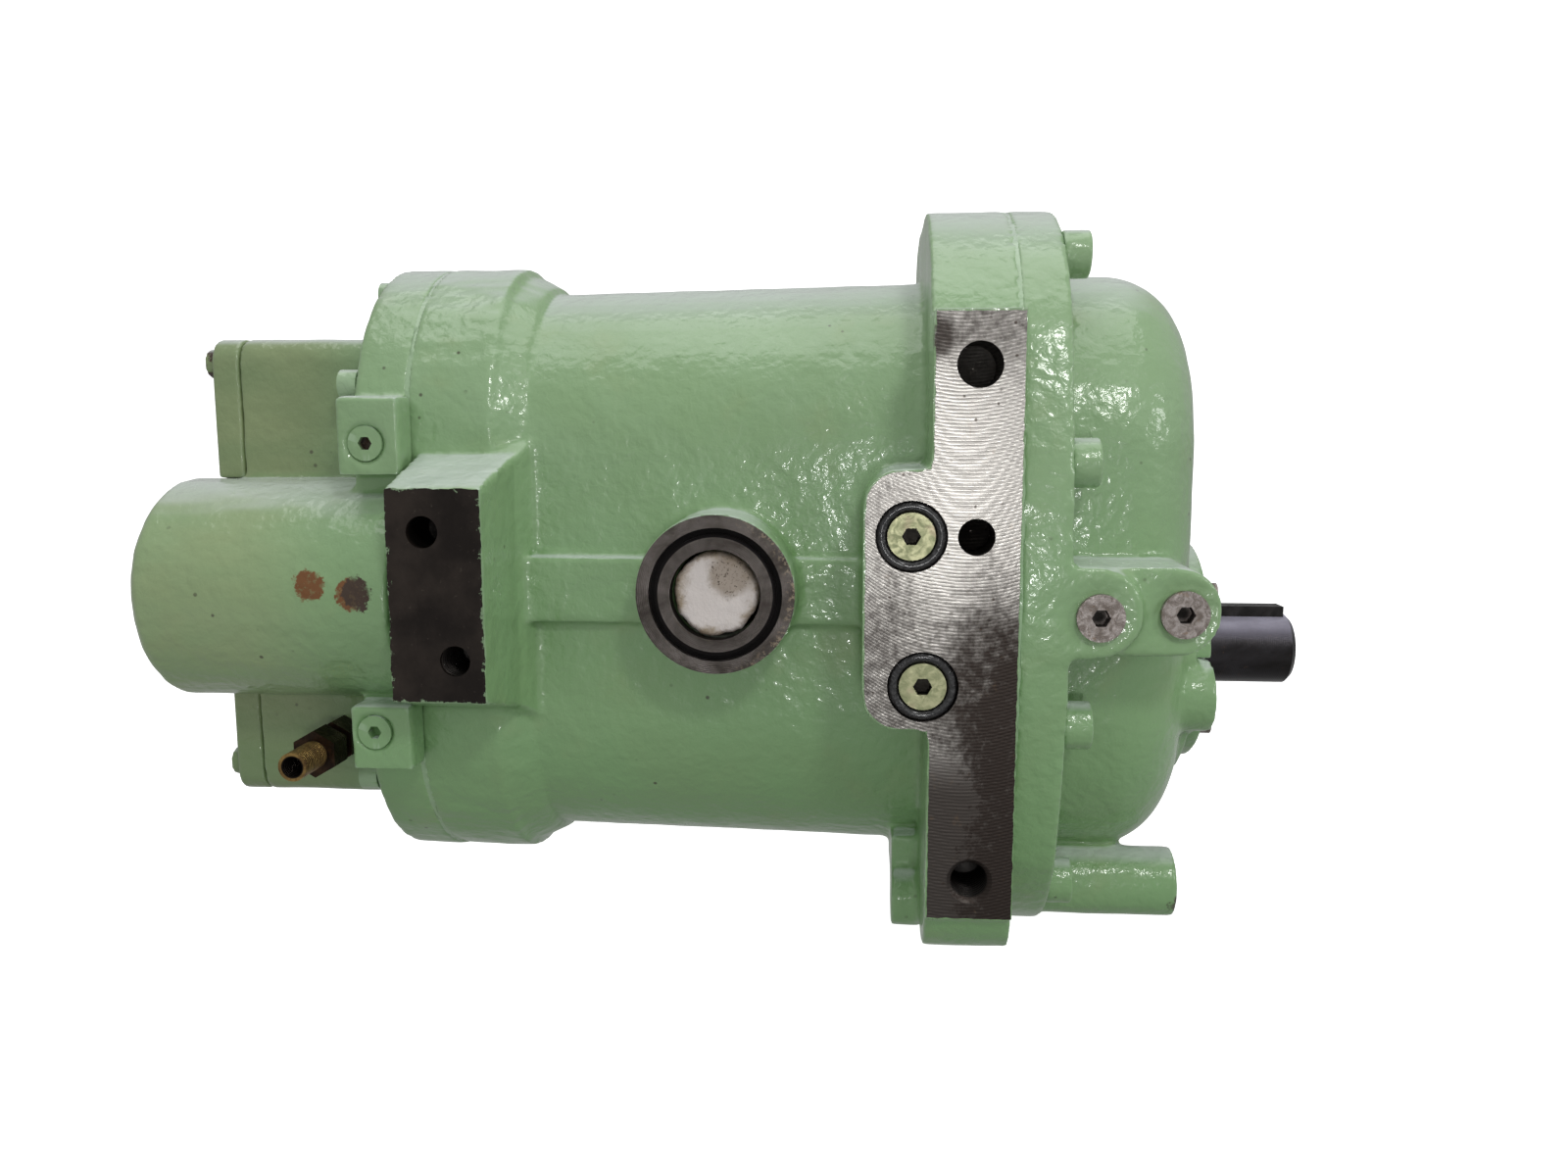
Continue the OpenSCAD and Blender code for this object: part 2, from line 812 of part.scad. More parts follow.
// four round lobes on the pitch circle, on a round root
module male_profile() {
    circle(r = male_pitch - 0.3, $fn = 48);
    for (k = [0:male_lobes - 1])
        rotate(k * 360 / male_lobes)
            translate([0, male_pitch])
                circle(r = lobe_r - rotor_gap, $fn = 36);
}

// six round flutes cut into the pitch circle
module female_profile() {
    difference() {
        circle(r = female_pitch - 0.3, $fn = 60);
        for (k = [0:female_flutes - 1])
            rotate(k * 360 / female_flutes)
                translate([0, female_pitch])
                    circle(r = lobe_r + rotor_gap, $fn = 36);
    }
}

module male_rotor() {
    color("lightgray")
        difference() {
            union() {
                translate([rotor_x0, axis_y, male_z])
                    rotate([90, 0, 90])
                        linear_extrude(height = rotor_x1 - rotor_x0, twist = male_wrap,
                            slices = rotor_slices)
                            male_profile();
                bar_x(end_bearing_x - locknut_w - 2, 80, journal_r, axis_y, male_z);
                bar_x(rotor_x1 - 10, drive_seat_x - rotor_x1 + 10, journal_r, axis_y, male_z);
                bar_x(drive_seat_x - 1, gear_x + gear_w - drive_seat_x + 1, pinion_seat_r, axis_y, male_z);
                bar_x(gear_x + gear_w - 1, 11, 12, axis_y, male_z);
            }
            pinion_key_block(key_room);
        }
}

module female_rotor() {
    color("lightgray") {
        translate([rotor_x0, axis_y, female_z])
            rotate([90, 0, 90])
                linear_extrude(height = rotor_x1 - rotor_x0,
                    twist = -male_wrap * male_lobes / female_flutes, slices = rotor_slices)
                    female_profile();
        bar_x(end_bearing_x - locknut_w - 2, 80, journal_r, axis_y, female_z);
        bar_x(rotor_x1 - 10, drive_seat_x - rotor_x1 + 9, journal_r, axis_y, female_z);
    }
}

// ---------- bearings ----------

// outer ring with its rollers and cage, standing clear of the inner ring
module bearing_outer(x, w, r_out, r_in, z) {
    ring_t = (r_out - r_in) * 0.25;
    roller_r = (r_out - r_in) * 0.23;
    mid = r_in + ring_t + roller_r + 0.3;
    color("lightsteelblue") {
        difference() {
            bar_x(x, w, r_out, axis_y, z);
            bar_x(x - 1, w + 2, r_out - ring_t, axis_y, z);
        }
        for (a = [0:30:330])
            bar_x(x + 3, w - 6, roller_r, axis_y + mid * cos(a), z + mid * sin(a));
        difference() {
            bar_x(x + 2, 2, mid + 1, axis_y, z);
            bar_x(x + 1, 4, mid - 1, axis_y, z);
        }
    }
}

// inner ring, fixed on its journal
module bearing_inner(x, w, r_out, r_in, z) {
    ring_t = (r_out - r_in) * 0.25;
    color("lightsteelblue")
        difference() {
            bar_x(x, w, r_in + ring_t, axis_y, z);
            bar_x(x - 1, w + 2, r_in, axis_y, z);
        }
}

module male_end_bearing() {
    bearing_outer(end_bearing_x, end_bearing_w, rotor_bearing_r, journal_r, male_z);
}

module male_end_race() {
    bearing_inner(end_bearing_x, end_bearing_w, rotor_bearing_r, journal_r, male_z);
}

module female_end_bearing() {
    bearing_outer(end_bearing_x, end_bearing_w, rotor_bearing_r, journal_r, female_z);
}

module female_end_race() {
    bearing_inner(end_bearing_x, end_bearing_w, rotor_bearing_r, journal_r, female_z);
}

module male_drive_bearing() {
    bearing_outer(drive_bearing_x, drive_bearing_w, rotor_bearing_r, journal_r, male_z);
}

module male_drive_race() {
    bearing_inner(drive_bearing_x, drive_bearing_w, rotor_bearing_r, journal_r, male_z);
}

module female_drive_bearing() {
    bearing_outer(drive_bearing_x, drive_bearing_w, rotor_bearing_r, journal_r, female_z);
}

module female_drive_race() {
    bearing_inner(drive_bearing_x, drive_bearing_w, rotor_bearing_r, journal_r, female_z);
}

module shaft_inner_bearing() {
    bearing_outer(inner_bearing_x, inner_bearing_w, inner_bearing_r, inner_journal_r, shaft_z);
}

module shaft_inner_race() {
    bearing_inner(inner_bearing_x, inner_bearing_w, inner_bearing_r, inner_journal_r, shaft_z);
}

module shaft_outer_bearing() {
    bearing_outer(outer_bearing_x, outer_bearing_w, outer_bearing_r, outer_journal_r, shaft_z);
}

module shaft_outer_race() {
    bearing_inner(outer_bearing_x, outer_bearing_w, outer_bearing_r, outer_journal_r, shaft_z);
}

// rotary lip seal, its lip just clear of the shaft
module shaft_seal() {
    color("black")
        translate([hub_face_x, axis_y, shaft_z])
            rotate([0, 90, 0])
                rotate_extrude()
                    polygon([[seal_r, 0], [seal_r, 7.5], [shaft_r + 1, 7.5], [shaft_r + 0.08, 4.5],
                        [shaft_r + 0.08, 3.5], [shaft_r + 2, 5.5], [seal_r - 2, 5.5], [seal_r - 2, 0]]);
}

// ---------- slide valve ----------

// round slide whose inner side follows the two rotor bores
module slide_valve() {
    color("silver")
        difference() {
            bar_x(slide_x0, slide_x1 - slide_x0, slide_r, slide_y);
            bar_x(slide_x0 - 1, slide_x1 - slide_x0 + 2, male_bore, axis_y, male_z);
            bar_x(slide_x0 - 1, slide_x1 - slide_x0 + 2, female_bore, axis_y, female_z);
            bar_x(slide_x0 - 1, 21, rod_r, slide_y);
            translate([port_x - 45, slide_y - slide_r - 1, -7])
                cube([60, 9, 14]);
        }
}

module slide_rod() {
    color("silver")
        bar_x(piston_x + 4, slide_x0 + 20 - piston_x - 4, rod_r, slide_y);
}

module control_piston() {
    color("silver")
        difference() {
            bar_x(piston_x, piston_w, piston_r, slide_y);
            bar_x(piston_x + 4, piston_w, rod_r, slide_y);
            difference() {
                bar_x(piston_x + 5, 4, piston_r + 1, slide_y);
                bar_x(piston_x + 4, 6, piston_r - 3, slide_y);
            }
        }
}

module piston_ring() {
    color("black")
        difference() {
            bar_x(piston_x + 5, 4, piston_r, slide_y);
            bar_x(piston_x + 4, 6, piston_r - 3, slide_y);
        }
}

module rod_gland() {
    color("silver")
        difference() {
            bar_x(gland_x, gland_w, cylinder_bore, slide_y);
            bar_x(gland_x - 1, gland_w + 2, rod_r + 0.05, slide_y);
        }
}

// point j around the wire at step i of the compression spring between piston and gland
function spring_point(i, j) =
    let (
        turn = 360 * spring_turns * i / spring_steps,
        around = 360 * j / wire_sides,
        r = spring_r + wire_r * cos(around),
        x = spring_x0 + wire_r + (spring_len - 2 * wire_r) * i / spring_steps + wire_r * sin(around)
    )
    [x, slide_y + r * cos(turn), r * sin(turn)];

module return_spring() {
    points = [for (i = [0:spring_steps]) for (j = [0:wire_sides - 1]) spring_point(i, j)];
    walls = [for (i = [0:spring_steps - 1]) for (j = [0:wire_sides - 1])
        let (k = (j + 1) % wire_sides)
        [i * wire_sides + j, i * wire_sides + k, (i + 1) * wire_sides + k, (i + 1) * wire_sides + j]];
    first = [for (j = [wire_sides - 1:-1:0]) j];
    last = [for (j = [0:wire_sides - 1]) spring_steps * wire_sides + j];
    color("slategray")
        polyhedron(points = points, faces = concat([first], walls, [last]));
}

// ---------- screws, pins and plugs ----------

module cover_bolts() {
    color("darkseagreen")
        for (p = cover_screws)
            cap_screw(p, cover_face_x, 1, cover_screw_d, 38, 11);
}

module end_cover_bolts() {
    color("gray")
        for (p = end_screws)
            cap_screw(p, end_face_x, -1, 8, 43, 8);
}

module plate_bolts() {
    color("darkseagreen")
        for (p = plate_screws)
            cap_screw(p, end_cap_x + 3, -1, 8, 28, 8);
}

module seal_cover_bolts() {
    color("gray")
        for (p = seal_screws)
            cap_screw(p, seal_cover_x, 1, 6, 18, 6);
}

module cover_dowel_pins() {
    color("silver")
        screw_holes(cover_dowels, cover_joint_x - 11, 22, 4.98);
}

module end_dowel_pins() {
    color("silver")
        screw_holes(end_dowels, end_joint_x - 11, 22, 3.98);
}

module ear_plug_pair() {
    color("darkkhaki")
        for (p = ear_plugs)
            socket_plug(p[0], p[1], 0.8, plug_head_r, 3.7, 14);
}

module ear_seal_rings() {
    color("black")
        for (p = ear_plugs)
            translate([p[0], 2.5, p[1]])
                rotate([-90, 0, 0])
                    rotate_extrude()
                        translate([11.25, 0])
                            circle(r = 2, $fn = 32);
}

module lug_plug_pair() {
    color("gray")
        for (i = [0, 1])
            socket_plug(lug_plugs[i][0], lug_plugs[i][1], lug_faces[i] - 1.5, plug_head_r, 2.5, 18);
}

module block_plug_pair() {
    color("gray")
        for (p = block_plugs)
            difference() {
                union() {
                    bar_y(p[0], p[1], block_face_y, 4, 7);
                    bar_y(p[0], p[1], block_face_y + 3.5, 11, plug_shank_r - 1);
                }
                translate([p[0], block_face_y - 1, p[1]])
                    rotate([-90, 0, 0])
                        cylinder(h = 6, r = 2.9, $fn = 6);
            }
}

// moulded cap pressed into the front port
module port_cap() {
    color("white")
        difference() {
            bar_y(port_x, 0, port_face_y + 3, 12, port_bore);
            bar_y(port_x, 0, port_face_y + 6, 12, port_bore - 2);
        }
}

// brass fitting with two hexagons and a hollow nose
module oil_fitting() {
    color("peru")
        difference() {
            union() {
                bar_y(fitting_x, fitting_z, box_y0 - 1, 11, 6);
                translate([fitting_x, box_y0 - 13, fitting_z])
                    rotate([-90, 30, 0])
                        cylinder(h = 13, r = 9.8, $fn = 6);
                bar_y(fitting_x, fitting_z, box_y0 - 19, 7, 6);
                translate([fitting_x, box_y0 - 30, fitting_z])
                    rotate([-90, 30, 0])
                        cylinder(h = 12, r = 10.2, $fn = 6);
                bar_y(fitting_x, fitting_z, box_y0 - 49, 20, 6);
            }
            bar_y(fitting_x, fitting_z, box_y0 - 50, 70, 4.2);
        }
}

rotor_housing();
end_housing();
end_plate();
drive_cover();
seal_cover();
end_gasket();
cover_gasket();
input_shaft();
shaft_key();
drive_gear();
gear_key();
gear_spacer();
pinion();
pinion_key();
pinion_nut();
male_rotor();
female_rotor();
male_locknut();
female_locknut();
shaft_seal();
slide_valve();
slide_rod();
control_piston();
piston_ring();
return_spring();
rod_gland();
male_end_bearing();
male_end_race();
female_end_bearing();
female_end_race();
male_drive_bearing();
male_drive_race();
female_drive_bearing();
female_drive_race();
shaft_inner_bearing();
shaft_inner_race();
shaft_outer_bearing();
shaft_outer_race();
cover_bolts();
end_cover_bolts();
plate_bolts();
seal_cover_bolts();
cover_dowel_pins();
end_dowel_pins();
ear_plug_pair();
ear_seal_rings();
lug_plug_pair();
block_plug_pair();
port_cap();
oil_fitting();
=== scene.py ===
import json
import math

import bmesh
import bpy
import numpy as np
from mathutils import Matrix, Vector, noise


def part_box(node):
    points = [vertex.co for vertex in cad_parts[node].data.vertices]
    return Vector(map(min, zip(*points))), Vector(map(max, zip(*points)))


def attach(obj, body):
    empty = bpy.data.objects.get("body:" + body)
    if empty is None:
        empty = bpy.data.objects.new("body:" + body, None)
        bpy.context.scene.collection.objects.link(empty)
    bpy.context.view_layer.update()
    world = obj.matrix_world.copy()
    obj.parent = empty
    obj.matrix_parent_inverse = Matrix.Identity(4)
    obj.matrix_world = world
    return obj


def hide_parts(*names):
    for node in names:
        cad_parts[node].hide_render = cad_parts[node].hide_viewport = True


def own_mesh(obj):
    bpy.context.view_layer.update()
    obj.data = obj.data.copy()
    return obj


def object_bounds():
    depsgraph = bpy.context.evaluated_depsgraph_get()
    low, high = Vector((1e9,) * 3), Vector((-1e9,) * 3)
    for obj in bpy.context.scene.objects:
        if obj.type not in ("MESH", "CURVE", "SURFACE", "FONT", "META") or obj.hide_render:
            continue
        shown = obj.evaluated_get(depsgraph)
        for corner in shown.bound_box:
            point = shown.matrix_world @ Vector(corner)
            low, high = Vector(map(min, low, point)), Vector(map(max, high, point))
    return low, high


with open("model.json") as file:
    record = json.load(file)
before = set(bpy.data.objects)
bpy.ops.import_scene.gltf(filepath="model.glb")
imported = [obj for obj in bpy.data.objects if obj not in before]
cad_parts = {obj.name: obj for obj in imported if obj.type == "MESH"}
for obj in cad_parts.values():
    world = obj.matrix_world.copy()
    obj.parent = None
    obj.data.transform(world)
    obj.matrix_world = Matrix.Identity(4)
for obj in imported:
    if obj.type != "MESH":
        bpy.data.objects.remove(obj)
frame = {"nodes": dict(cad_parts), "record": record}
cad_low, cad_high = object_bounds()
nodes = frame["nodes"]

MM = 0.001
VOXEL = 1.5 * MM


def mid(node):
    low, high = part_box(node)
    return (low + high) / 2


# ---------------------------------------------------------------- mesh helpers


def make(name, verts, faces):
    mesh = bpy.data.meshes.new(name)
    mesh.from_pydata([tuple(v) for v in verts], [], faces)
    mesh.validate()
    obj = bpy.data.objects.new(name, mesh)
    bpy.context.scene.collection.objects.link(obj)
    return obj


def clean(obj, weld=0.0, outward=True):
    """Welds vertices nearer than weld, and turns the faces outward."""
    bm = bmesh.new()
    bm.from_mesh(obj.data)
    if weld:
        bmesh.ops.remove_doubles(bm, verts=bm.verts, dist=weld)
    if outward:
        bmesh.ops.recalc_face_normals(bm, faces=bm.faces)
    bm.to_mesh(obj.data)
    bm.free()
    return obj


def copy_node(node, name):
    """A free copy of a CAD node, its split seams welded."""
    mesh = nodes[node].data.copy()
    mesh.name = name
    obj = bpy.data.objects.new(name, mesh)
    bpy.context.scene.collection.objects.link(obj)
    mesh.materials.clear()
    return clean(obj, weld=1e-6, outward=False)


def modify(obj, kind, **values):
    mod = obj.modifiers.new(kind.lower(), kind)
    for key, value in values.items():
        setattr(mod, key, value)
    return mod


def bake(obj):
    """Applies all modifiers."""
    bpy.context.view_layer.update()
    graph = bpy.context.evaluated_depsgraph_get()
    mesh = bpy.data.meshes.new_from_object(obj.evaluated_get(graph))
    old = obj.data
    obj.modifiers.clear()
    obj.data = mesh
    mesh.name = obj.name
    bpy.data.meshes.remove(old)
    return obj


def discard(obj):
    mesh = obj.data
    bpy.data.objects.remove(obj)
    bpy.data.meshes.remove(mesh)


def boolean(obj, others, operation):
    for other in others:
        modify(obj, "BOOLEAN", operation=operation, object=other, solver="EXACT")
        bake(obj)
    for other in others:
        discard(other)
    return obj


def lathe(name, profile, centre, axis, steps=64):
    """Closed solid turned round an axis through centre. The profile is (distance along the axis, radius)."""
    turn = Vector((0, 0, 1)).rotation_difference(Vector(axis)).to_matrix()
    verts, faces, n = [], [], len(profile)
    for i in range(steps):
        a = 2 * math.pi * i / steps
        for along, r in profile:
            verts.append(Vector(centre) + turn @ Vector((r * math.cos(a), r * math.sin(a), along)))
    for i in range(steps):
        j = (i + 1) % steps
        for k in range(n):
            m = (k + 1) % n
            faces.append((i * n + k, j * n + k, j * n + m, i * n + m))
    return clean(make(name, verts, faces), weld=1e-7)


def rod(name, start, axis, length, r, steps=64):
    return lathe(name, [(0, 0), (0, r), (length, r), (length, 0)], start, axis, steps)


def prism(name, outline, y0, y1):
    """Solid between two planes of constant y, from an outline of (x, z) points."""
    n = len(outline)
    verts = [(x, y0, z) for x, z in outline] + [(x, y1, z) for x, z in outline]
    faces = [tuple(range(n)), tuple(range(2 * n - 1, n - 1, -1))]
    faces += [(i, (i + 1) % n, n + (i + 1) % n, n + i) for i in range(n)]
    return clean(make(name, verts, faces))


def coords(obj):
    co = np.empty(len(obj.data.vertices) * 3, np.float32)
    obj.data.vertices.foreach_get("co", co)
    return co.reshape(-1, 3)


def set_coords(obj, co):
    obj.data.vertices.foreach_set("co", np.asarray(co, np.float32).ravel())
    obj.data.update()


def normals(obj):
    no = np.empty(len(obj.data.vertices) * 3, np.float32)
    obj.data.vertices.foreach_get("normal", no)
    return no.reshape(-1, 3)


def weigh(obj, weight, name="soft"):
    """Vertex group from an array of weights, in twenty steps."""
    group = obj.vertex_groups.new(name=name)
    level = np.rint(np.clip(weight, 0, 1) * 20).astype(int)
    for step in range(1, 21):
        group.add(np.nonzero(level == step)[0].tolist(), step / 20, "REPLACE")
    return name


def ramp(value, low, high):
    """0 below low, 1 above high."""
    return np.clip((value - low) / (high - low), 0, 1)


def noise_at(co, wavelength, seed=0.0):
    """Smooth noise at each point, about -0.5 to 0.5."""
    scale = 1 / wavelength
    places = (Vector((x * scale + seed, y * scale, z * scale)) for x, y, z in co.tolist())
    return np.array([noise.noise(place) for place in places])


def cast(obj, voxel, rounds, softness, uneven, faces=190_000):
    """Turns a sharp solid into a cast one: rounded inside and out, and slightly uneven.
    softness(co) and uneven(co) give weights from 0 to 1 and heights in metres."""
    modify(obj, "REMESH", mode="VOXEL", voxel_size=voxel)
    bake(obj)
    co = coords(obj)
    modify(obj, "SMOOTH", factor=0.5, iterations=rounds, vertex_group=weigh(obj, softness(co)))
    bake(obj)
    obj.vertex_groups.clear()
    co = coords(obj)
    height = uneven(co)
    set_coords(obj, co + normals(obj) * height[:, None])
    triangles = sum(len(p.vertices) - 2 for p in obj.data.polygons)
    if triangles > faces:
        modify(obj, "DECIMATE", ratio=faces / triangles)
        bake(obj)
    return obj


def shade(obj, angle=35, flat_front=False):
    obj.data.shade_smooth()
    obj.data.set_sharp_from_angle(angle=math.radians(angle))
    if flat_front:
        for face in obj.data.polygons:
            if abs(face.normal.y) > 0.97:
                face.use_smooth = False
    return obj


def finish(obj, material, body, *replaced, slot=None):
    obj.data.materials.clear()
    obj.data.materials.append(material)
    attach(obj, body)
    if replaced:
        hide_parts(*replaced)
    return obj


# ---------------------------------------------------------------- shader helpers


class Shader:
    """A node material built by short calls. Textures read object coordinates, in metres."""

    def __init__(self, name, **values):
        self.material = bpy.data.materials.new(name)
        self.material.use_nodes = True
        self.tree = self.material.node_tree
        self.surface = self.tree.nodes["Principled BSDF"]
        self.place = self.tree.nodes.new("ShaderNodeTexCoord").outputs["Object"]
        self.set(**values)

    def set(self, **values):
        for key, value in values.items():
            self.plug(self.surface.inputs[key.replace("_", " ")], value)

    def plug(self, socket, value):
        """Links a socket, or sets a number or a colour."""
        if isinstance(value, bpy.types.NodeSocket):
            self.tree.links.new(value, socket)
        elif value is not None:
            if isinstance(value, (tuple, list)) and len(value) == 3 and socket.type == "RGBA":
                value = (*value, 1)
            socket.default_value = value

    def node(self, kind, *values, out=0, **props):
        n = self.tree.nodes.new(kind)
        for key, value in props.items():
            setattr(n, key, value)
        for socket, value in zip(n.inputs, values):
            self.plug(socket, value)
        return n.outputs[out]

    def math(self, operation, a, b=None, c=None):
        return self.node("ShaderNodeMath", a, b, c, operation=operation)

    def axis(self, letter):
        """One coordinate of the place, in metres."""
        split = self.tree.nodes.new("ShaderNodeSeparateXYZ")
        self.tree.links.new(self.place, split.inputs[0])
        return split.outputs["XYZ".index(letter)]

    def noise(self, wavelength, detail=3.0, rough=0.5, warp=0.0, seed=0.0, stretch=None):
        place = self.place
        if seed or stretch:
            place = self.node("ShaderNodeMapping", place, (seed, seed, seed), (0, 0, 0), stretch or (1, 1, 1))
        n = self.tree.nodes.new("ShaderNodeTexNoise")
        self.plug(n.inputs["Vector"], place)
        settings = {"Scale": 1 / wavelength, "Detail": detail, "Roughness": rough, "Distortion": warp}
        for key, value in settings.items():
            n.inputs[key].default_value = value
        return n.outputs["Fac"]

    def cells(self, wavelength, seed=0.0):
        """Distance to the nearest of a scatter of points, as a share of the wavelength."""
        n = self.tree.nodes.new("ShaderNodeTexVoronoi")
        place = self.place
        if seed:
            place = self.node("ShaderNodeMapping", place, (seed, seed, seed))
        self.plug(n.inputs["Vector"], place)
        n.inputs["Scale"].default_value = 1 / wavelength
        return n.outputs["Distance"]

    def step(self, value, low, high, to_low=0.0, to_high=1.0):
        """Smooth ramp of a value from low to high."""
        n = self.tree.nodes.new("ShaderNodeMapRange")
        n.interpolation_type = "SMOOTHSTEP"
        for socket, v in zip(n.inputs, (value, low, high, to_low, to_high)):
            self.plug(socket, v)
        return n.outputs[0]

    def mix(self, factor, a, b):
        n = self.tree.nodes.new("ShaderNodeMix")
        n.data_type = "RGBA"
        self.plug(n.inputs["Factor"], factor)
        self.plug(n.inputs[6], a)
        self.plug(n.inputs[7], b)
        return n.outputs[2]

    def bump(self, *heights):
        """Chains bumps given as (height socket, size in metres)."""
        normal = None
        for height, size in heights:
            n = self.tree.nodes.new("ShaderNodeBump")
            n.inputs["Distance"].default_value = size
            self.plug(n.inputs["Height"], height)
            self.plug(n.inputs["Normal"], normal)
            normal = n.outputs[0]
        return normal

    def radius(self, centre):
        """Distance from the line through centre along Y."""
        offset = self.node("ShaderNodeVectorMath", self.place, tuple(centre), operation="SUBTRACT")
        flat = self.node("ShaderNodeVectorMath", offset, (1, 0, 1), operation="MULTIPLY")
        return self.node("ShaderNodeVectorMath", flat, out=1, operation="LENGTH")

    def near(self, point, radius, wobble=None, strength=0.0):
        """1 at point, falling to 0 at radius, with a ragged edge."""
        away = self.node("ShaderNodeVectorMath", self.place, point, out=1, operation="DISTANCE")
        if wobble is not None:
            away = self.math("ADD", away, self.math("MULTIPLY", self.math("SUBTRACT", wobble, 0.5), strength))
        return self.step(away, radius * 0.55, radius, 1.0, 0.0)


def pointiness(s):
    """Above 0.5 on ridges, below it in hollows."""
    return s.node("ShaderNodeNewGeometry", out=7)


def upward(s):
    """1 on faces that look up, 0 on upright ones."""
    return s.node("ShaderNodeSeparateXYZ", s.node("ShaderNodeNewGeometry", out=1), out=2)


MINT = (0.215, 0.355, 0.160)
# paler green, used as a painted highlight on the upper parts of the paint
MINT_PAINTED_HIGHLIGHT = (0.295, 0.430, 0.250)
# deeper green: painted shade in hollows and in one hex socket, and one deeper patch below the rear pad
MINT_DEEP = (0.13, 0.27, 0.09)
RUST = (0.17, 0.062, 0.010)
BROWN = (0.045, 0.022, 0.010)
DIRT = (0.055, 0.045, 0.028)


def enamel():
    """Thick glossy green enamel over a casting, with a few rust stains; painted shade in its hollows and over
    the set-back faces of the end box, and a painted highlight on its edges, its top and its up-facing faces.
    """
    s = Shader("green_enamel", Metallic=0.0, Coat_Weight=0.5, Coat_Roughness=0.10, IOR=1.5)
    cloud = s.noise(0.055, 4, 0.55, 0.4)
    fine = s.noise(0.006, 3, 0.6)
    z = s.axis("Z")
    # painted highlight: the paint turns paler towards the top, standing in for the overhead light
    height = s.step(z, -0.13, 0.12, 0, 0.7)
    colour = s.mix(height, (0.210, 0.385, 0.165), MINT_PAINTED_HIGHLIGHT)
    streaks = s.step(s.noise(0.04, 3, 0.6, seed=6.5, stretch=(0.3, 1, 1)), 0.3, 0.65, 0.35, 1)
    front_end = s.math("MULTIPLY", s.step(s.axis("X"), -0.245, -0.300), s.step(s.axis("Y"), 0.100, 0.060))
    cream = s.math("MULTIPLY", front_end, streaks)
    colour = s.mix(s.step(cloud, 0.35, 0.68, 0, 0.55), colour, MINT)
    colour = s.mix(s.step(s.noise(0.03, 3, 0.6, seed=3.1), 0.55, 0.8, 0, 0.3), colour, (0.30, 0.37, 0.17))
    # painted shade: the set-back faces of the end box at the left turn darker, for the light that falls off
    # there
    painted_end_shade = s.math("MULTIPLY", s.step(s.axis("X"), -0.235, -0.290), s.step(s.axis("Y"), 0.030, 0.062))
    painted_end_shade = s.math("MULTIPLY", painted_end_shade, s.step(s.axis("Y"), 0.160, 0.100, 0, 0.75))
    colour = s.mix(painted_end_shade, colour, (0.125, 0.200, 0.080))
    colour = s.mix(s.math("MULTIPLY", cream, 0.55), colour, (0.330, 0.375, 0.190))
    # painted shade: hollows found by pointiness turn deeper green
    painted_hollow_shade = s.step(pointiness(s), 0.488, 0.455)
    colour = s.mix(s.math("MULTIPLY", painted_hollow_shade, 0.65), colour, MINT_DEEP)
    # painted highlight: ridges and edges found by pointiness turn paler green
    painted_edge_highlight = s.step(pointiness(s), 0.53, 0.58)
    colour = s.mix(s.math("MULTIPLY", painted_edge_highlight, 0.35), colour, (0.45, 0.60, 0.43))
    specks = s.step(s.cells(0.011, seed=1.7), 0.10, 0.05)
    speck_here = s.step(s.noise(0.05, 2, 0.5, seed=7.0), 0.52, 0.62)
    colour = s.mix(s.math("MULTIPLY", s.math("MULTIPLY", specks, speck_here), 0.8), colour, DIRT)
    ragged = s.noise(0.012, 5, 0.7, seed=2.0)
    grain = s.step(s.noise(0.003, 4, 0.7, seed=5.0), 0.42, 0.6)
    for point, radius, tint in STAINS:
        mask = s.near(point, radius, ragged, radius * 1.5)
        mask = s.step(s.math("MULTIPLY", mask, s.math("MULTIPLY_ADD", grain, 0.5, 0.5)), 0.25, 0.60)
        colour = s.mix(mask, colour, tint)
    for point, radius, tint in SOCKETS:
        colour = s.mix(s.near(point, radius), colour, tint)
    # painted highlight: faces that look up turn pale grey-green, standing in for the sheen of the overhead
    # light
    colour = s.mix(s.step(upward(s), 0.68, 1.0, 0, 0.75), colour, (0.66, 0.72, 0.70))
    s.set(Base_Color=colour, Roughness=s.step(cloud, 0.3, 0.7, 0.26, 0.40))
    peel = s.noise(0.0035, 2, 0.5, 0.3)
    wave = s.noise(0.014, 2, 0.5, 0.2)
    normal = s.bump((wave, 0.0011), (peel, 0.00042), (fine, 0.00008))
    s.set(Normal=normal, Coat_Normal=normal)
    return s.material


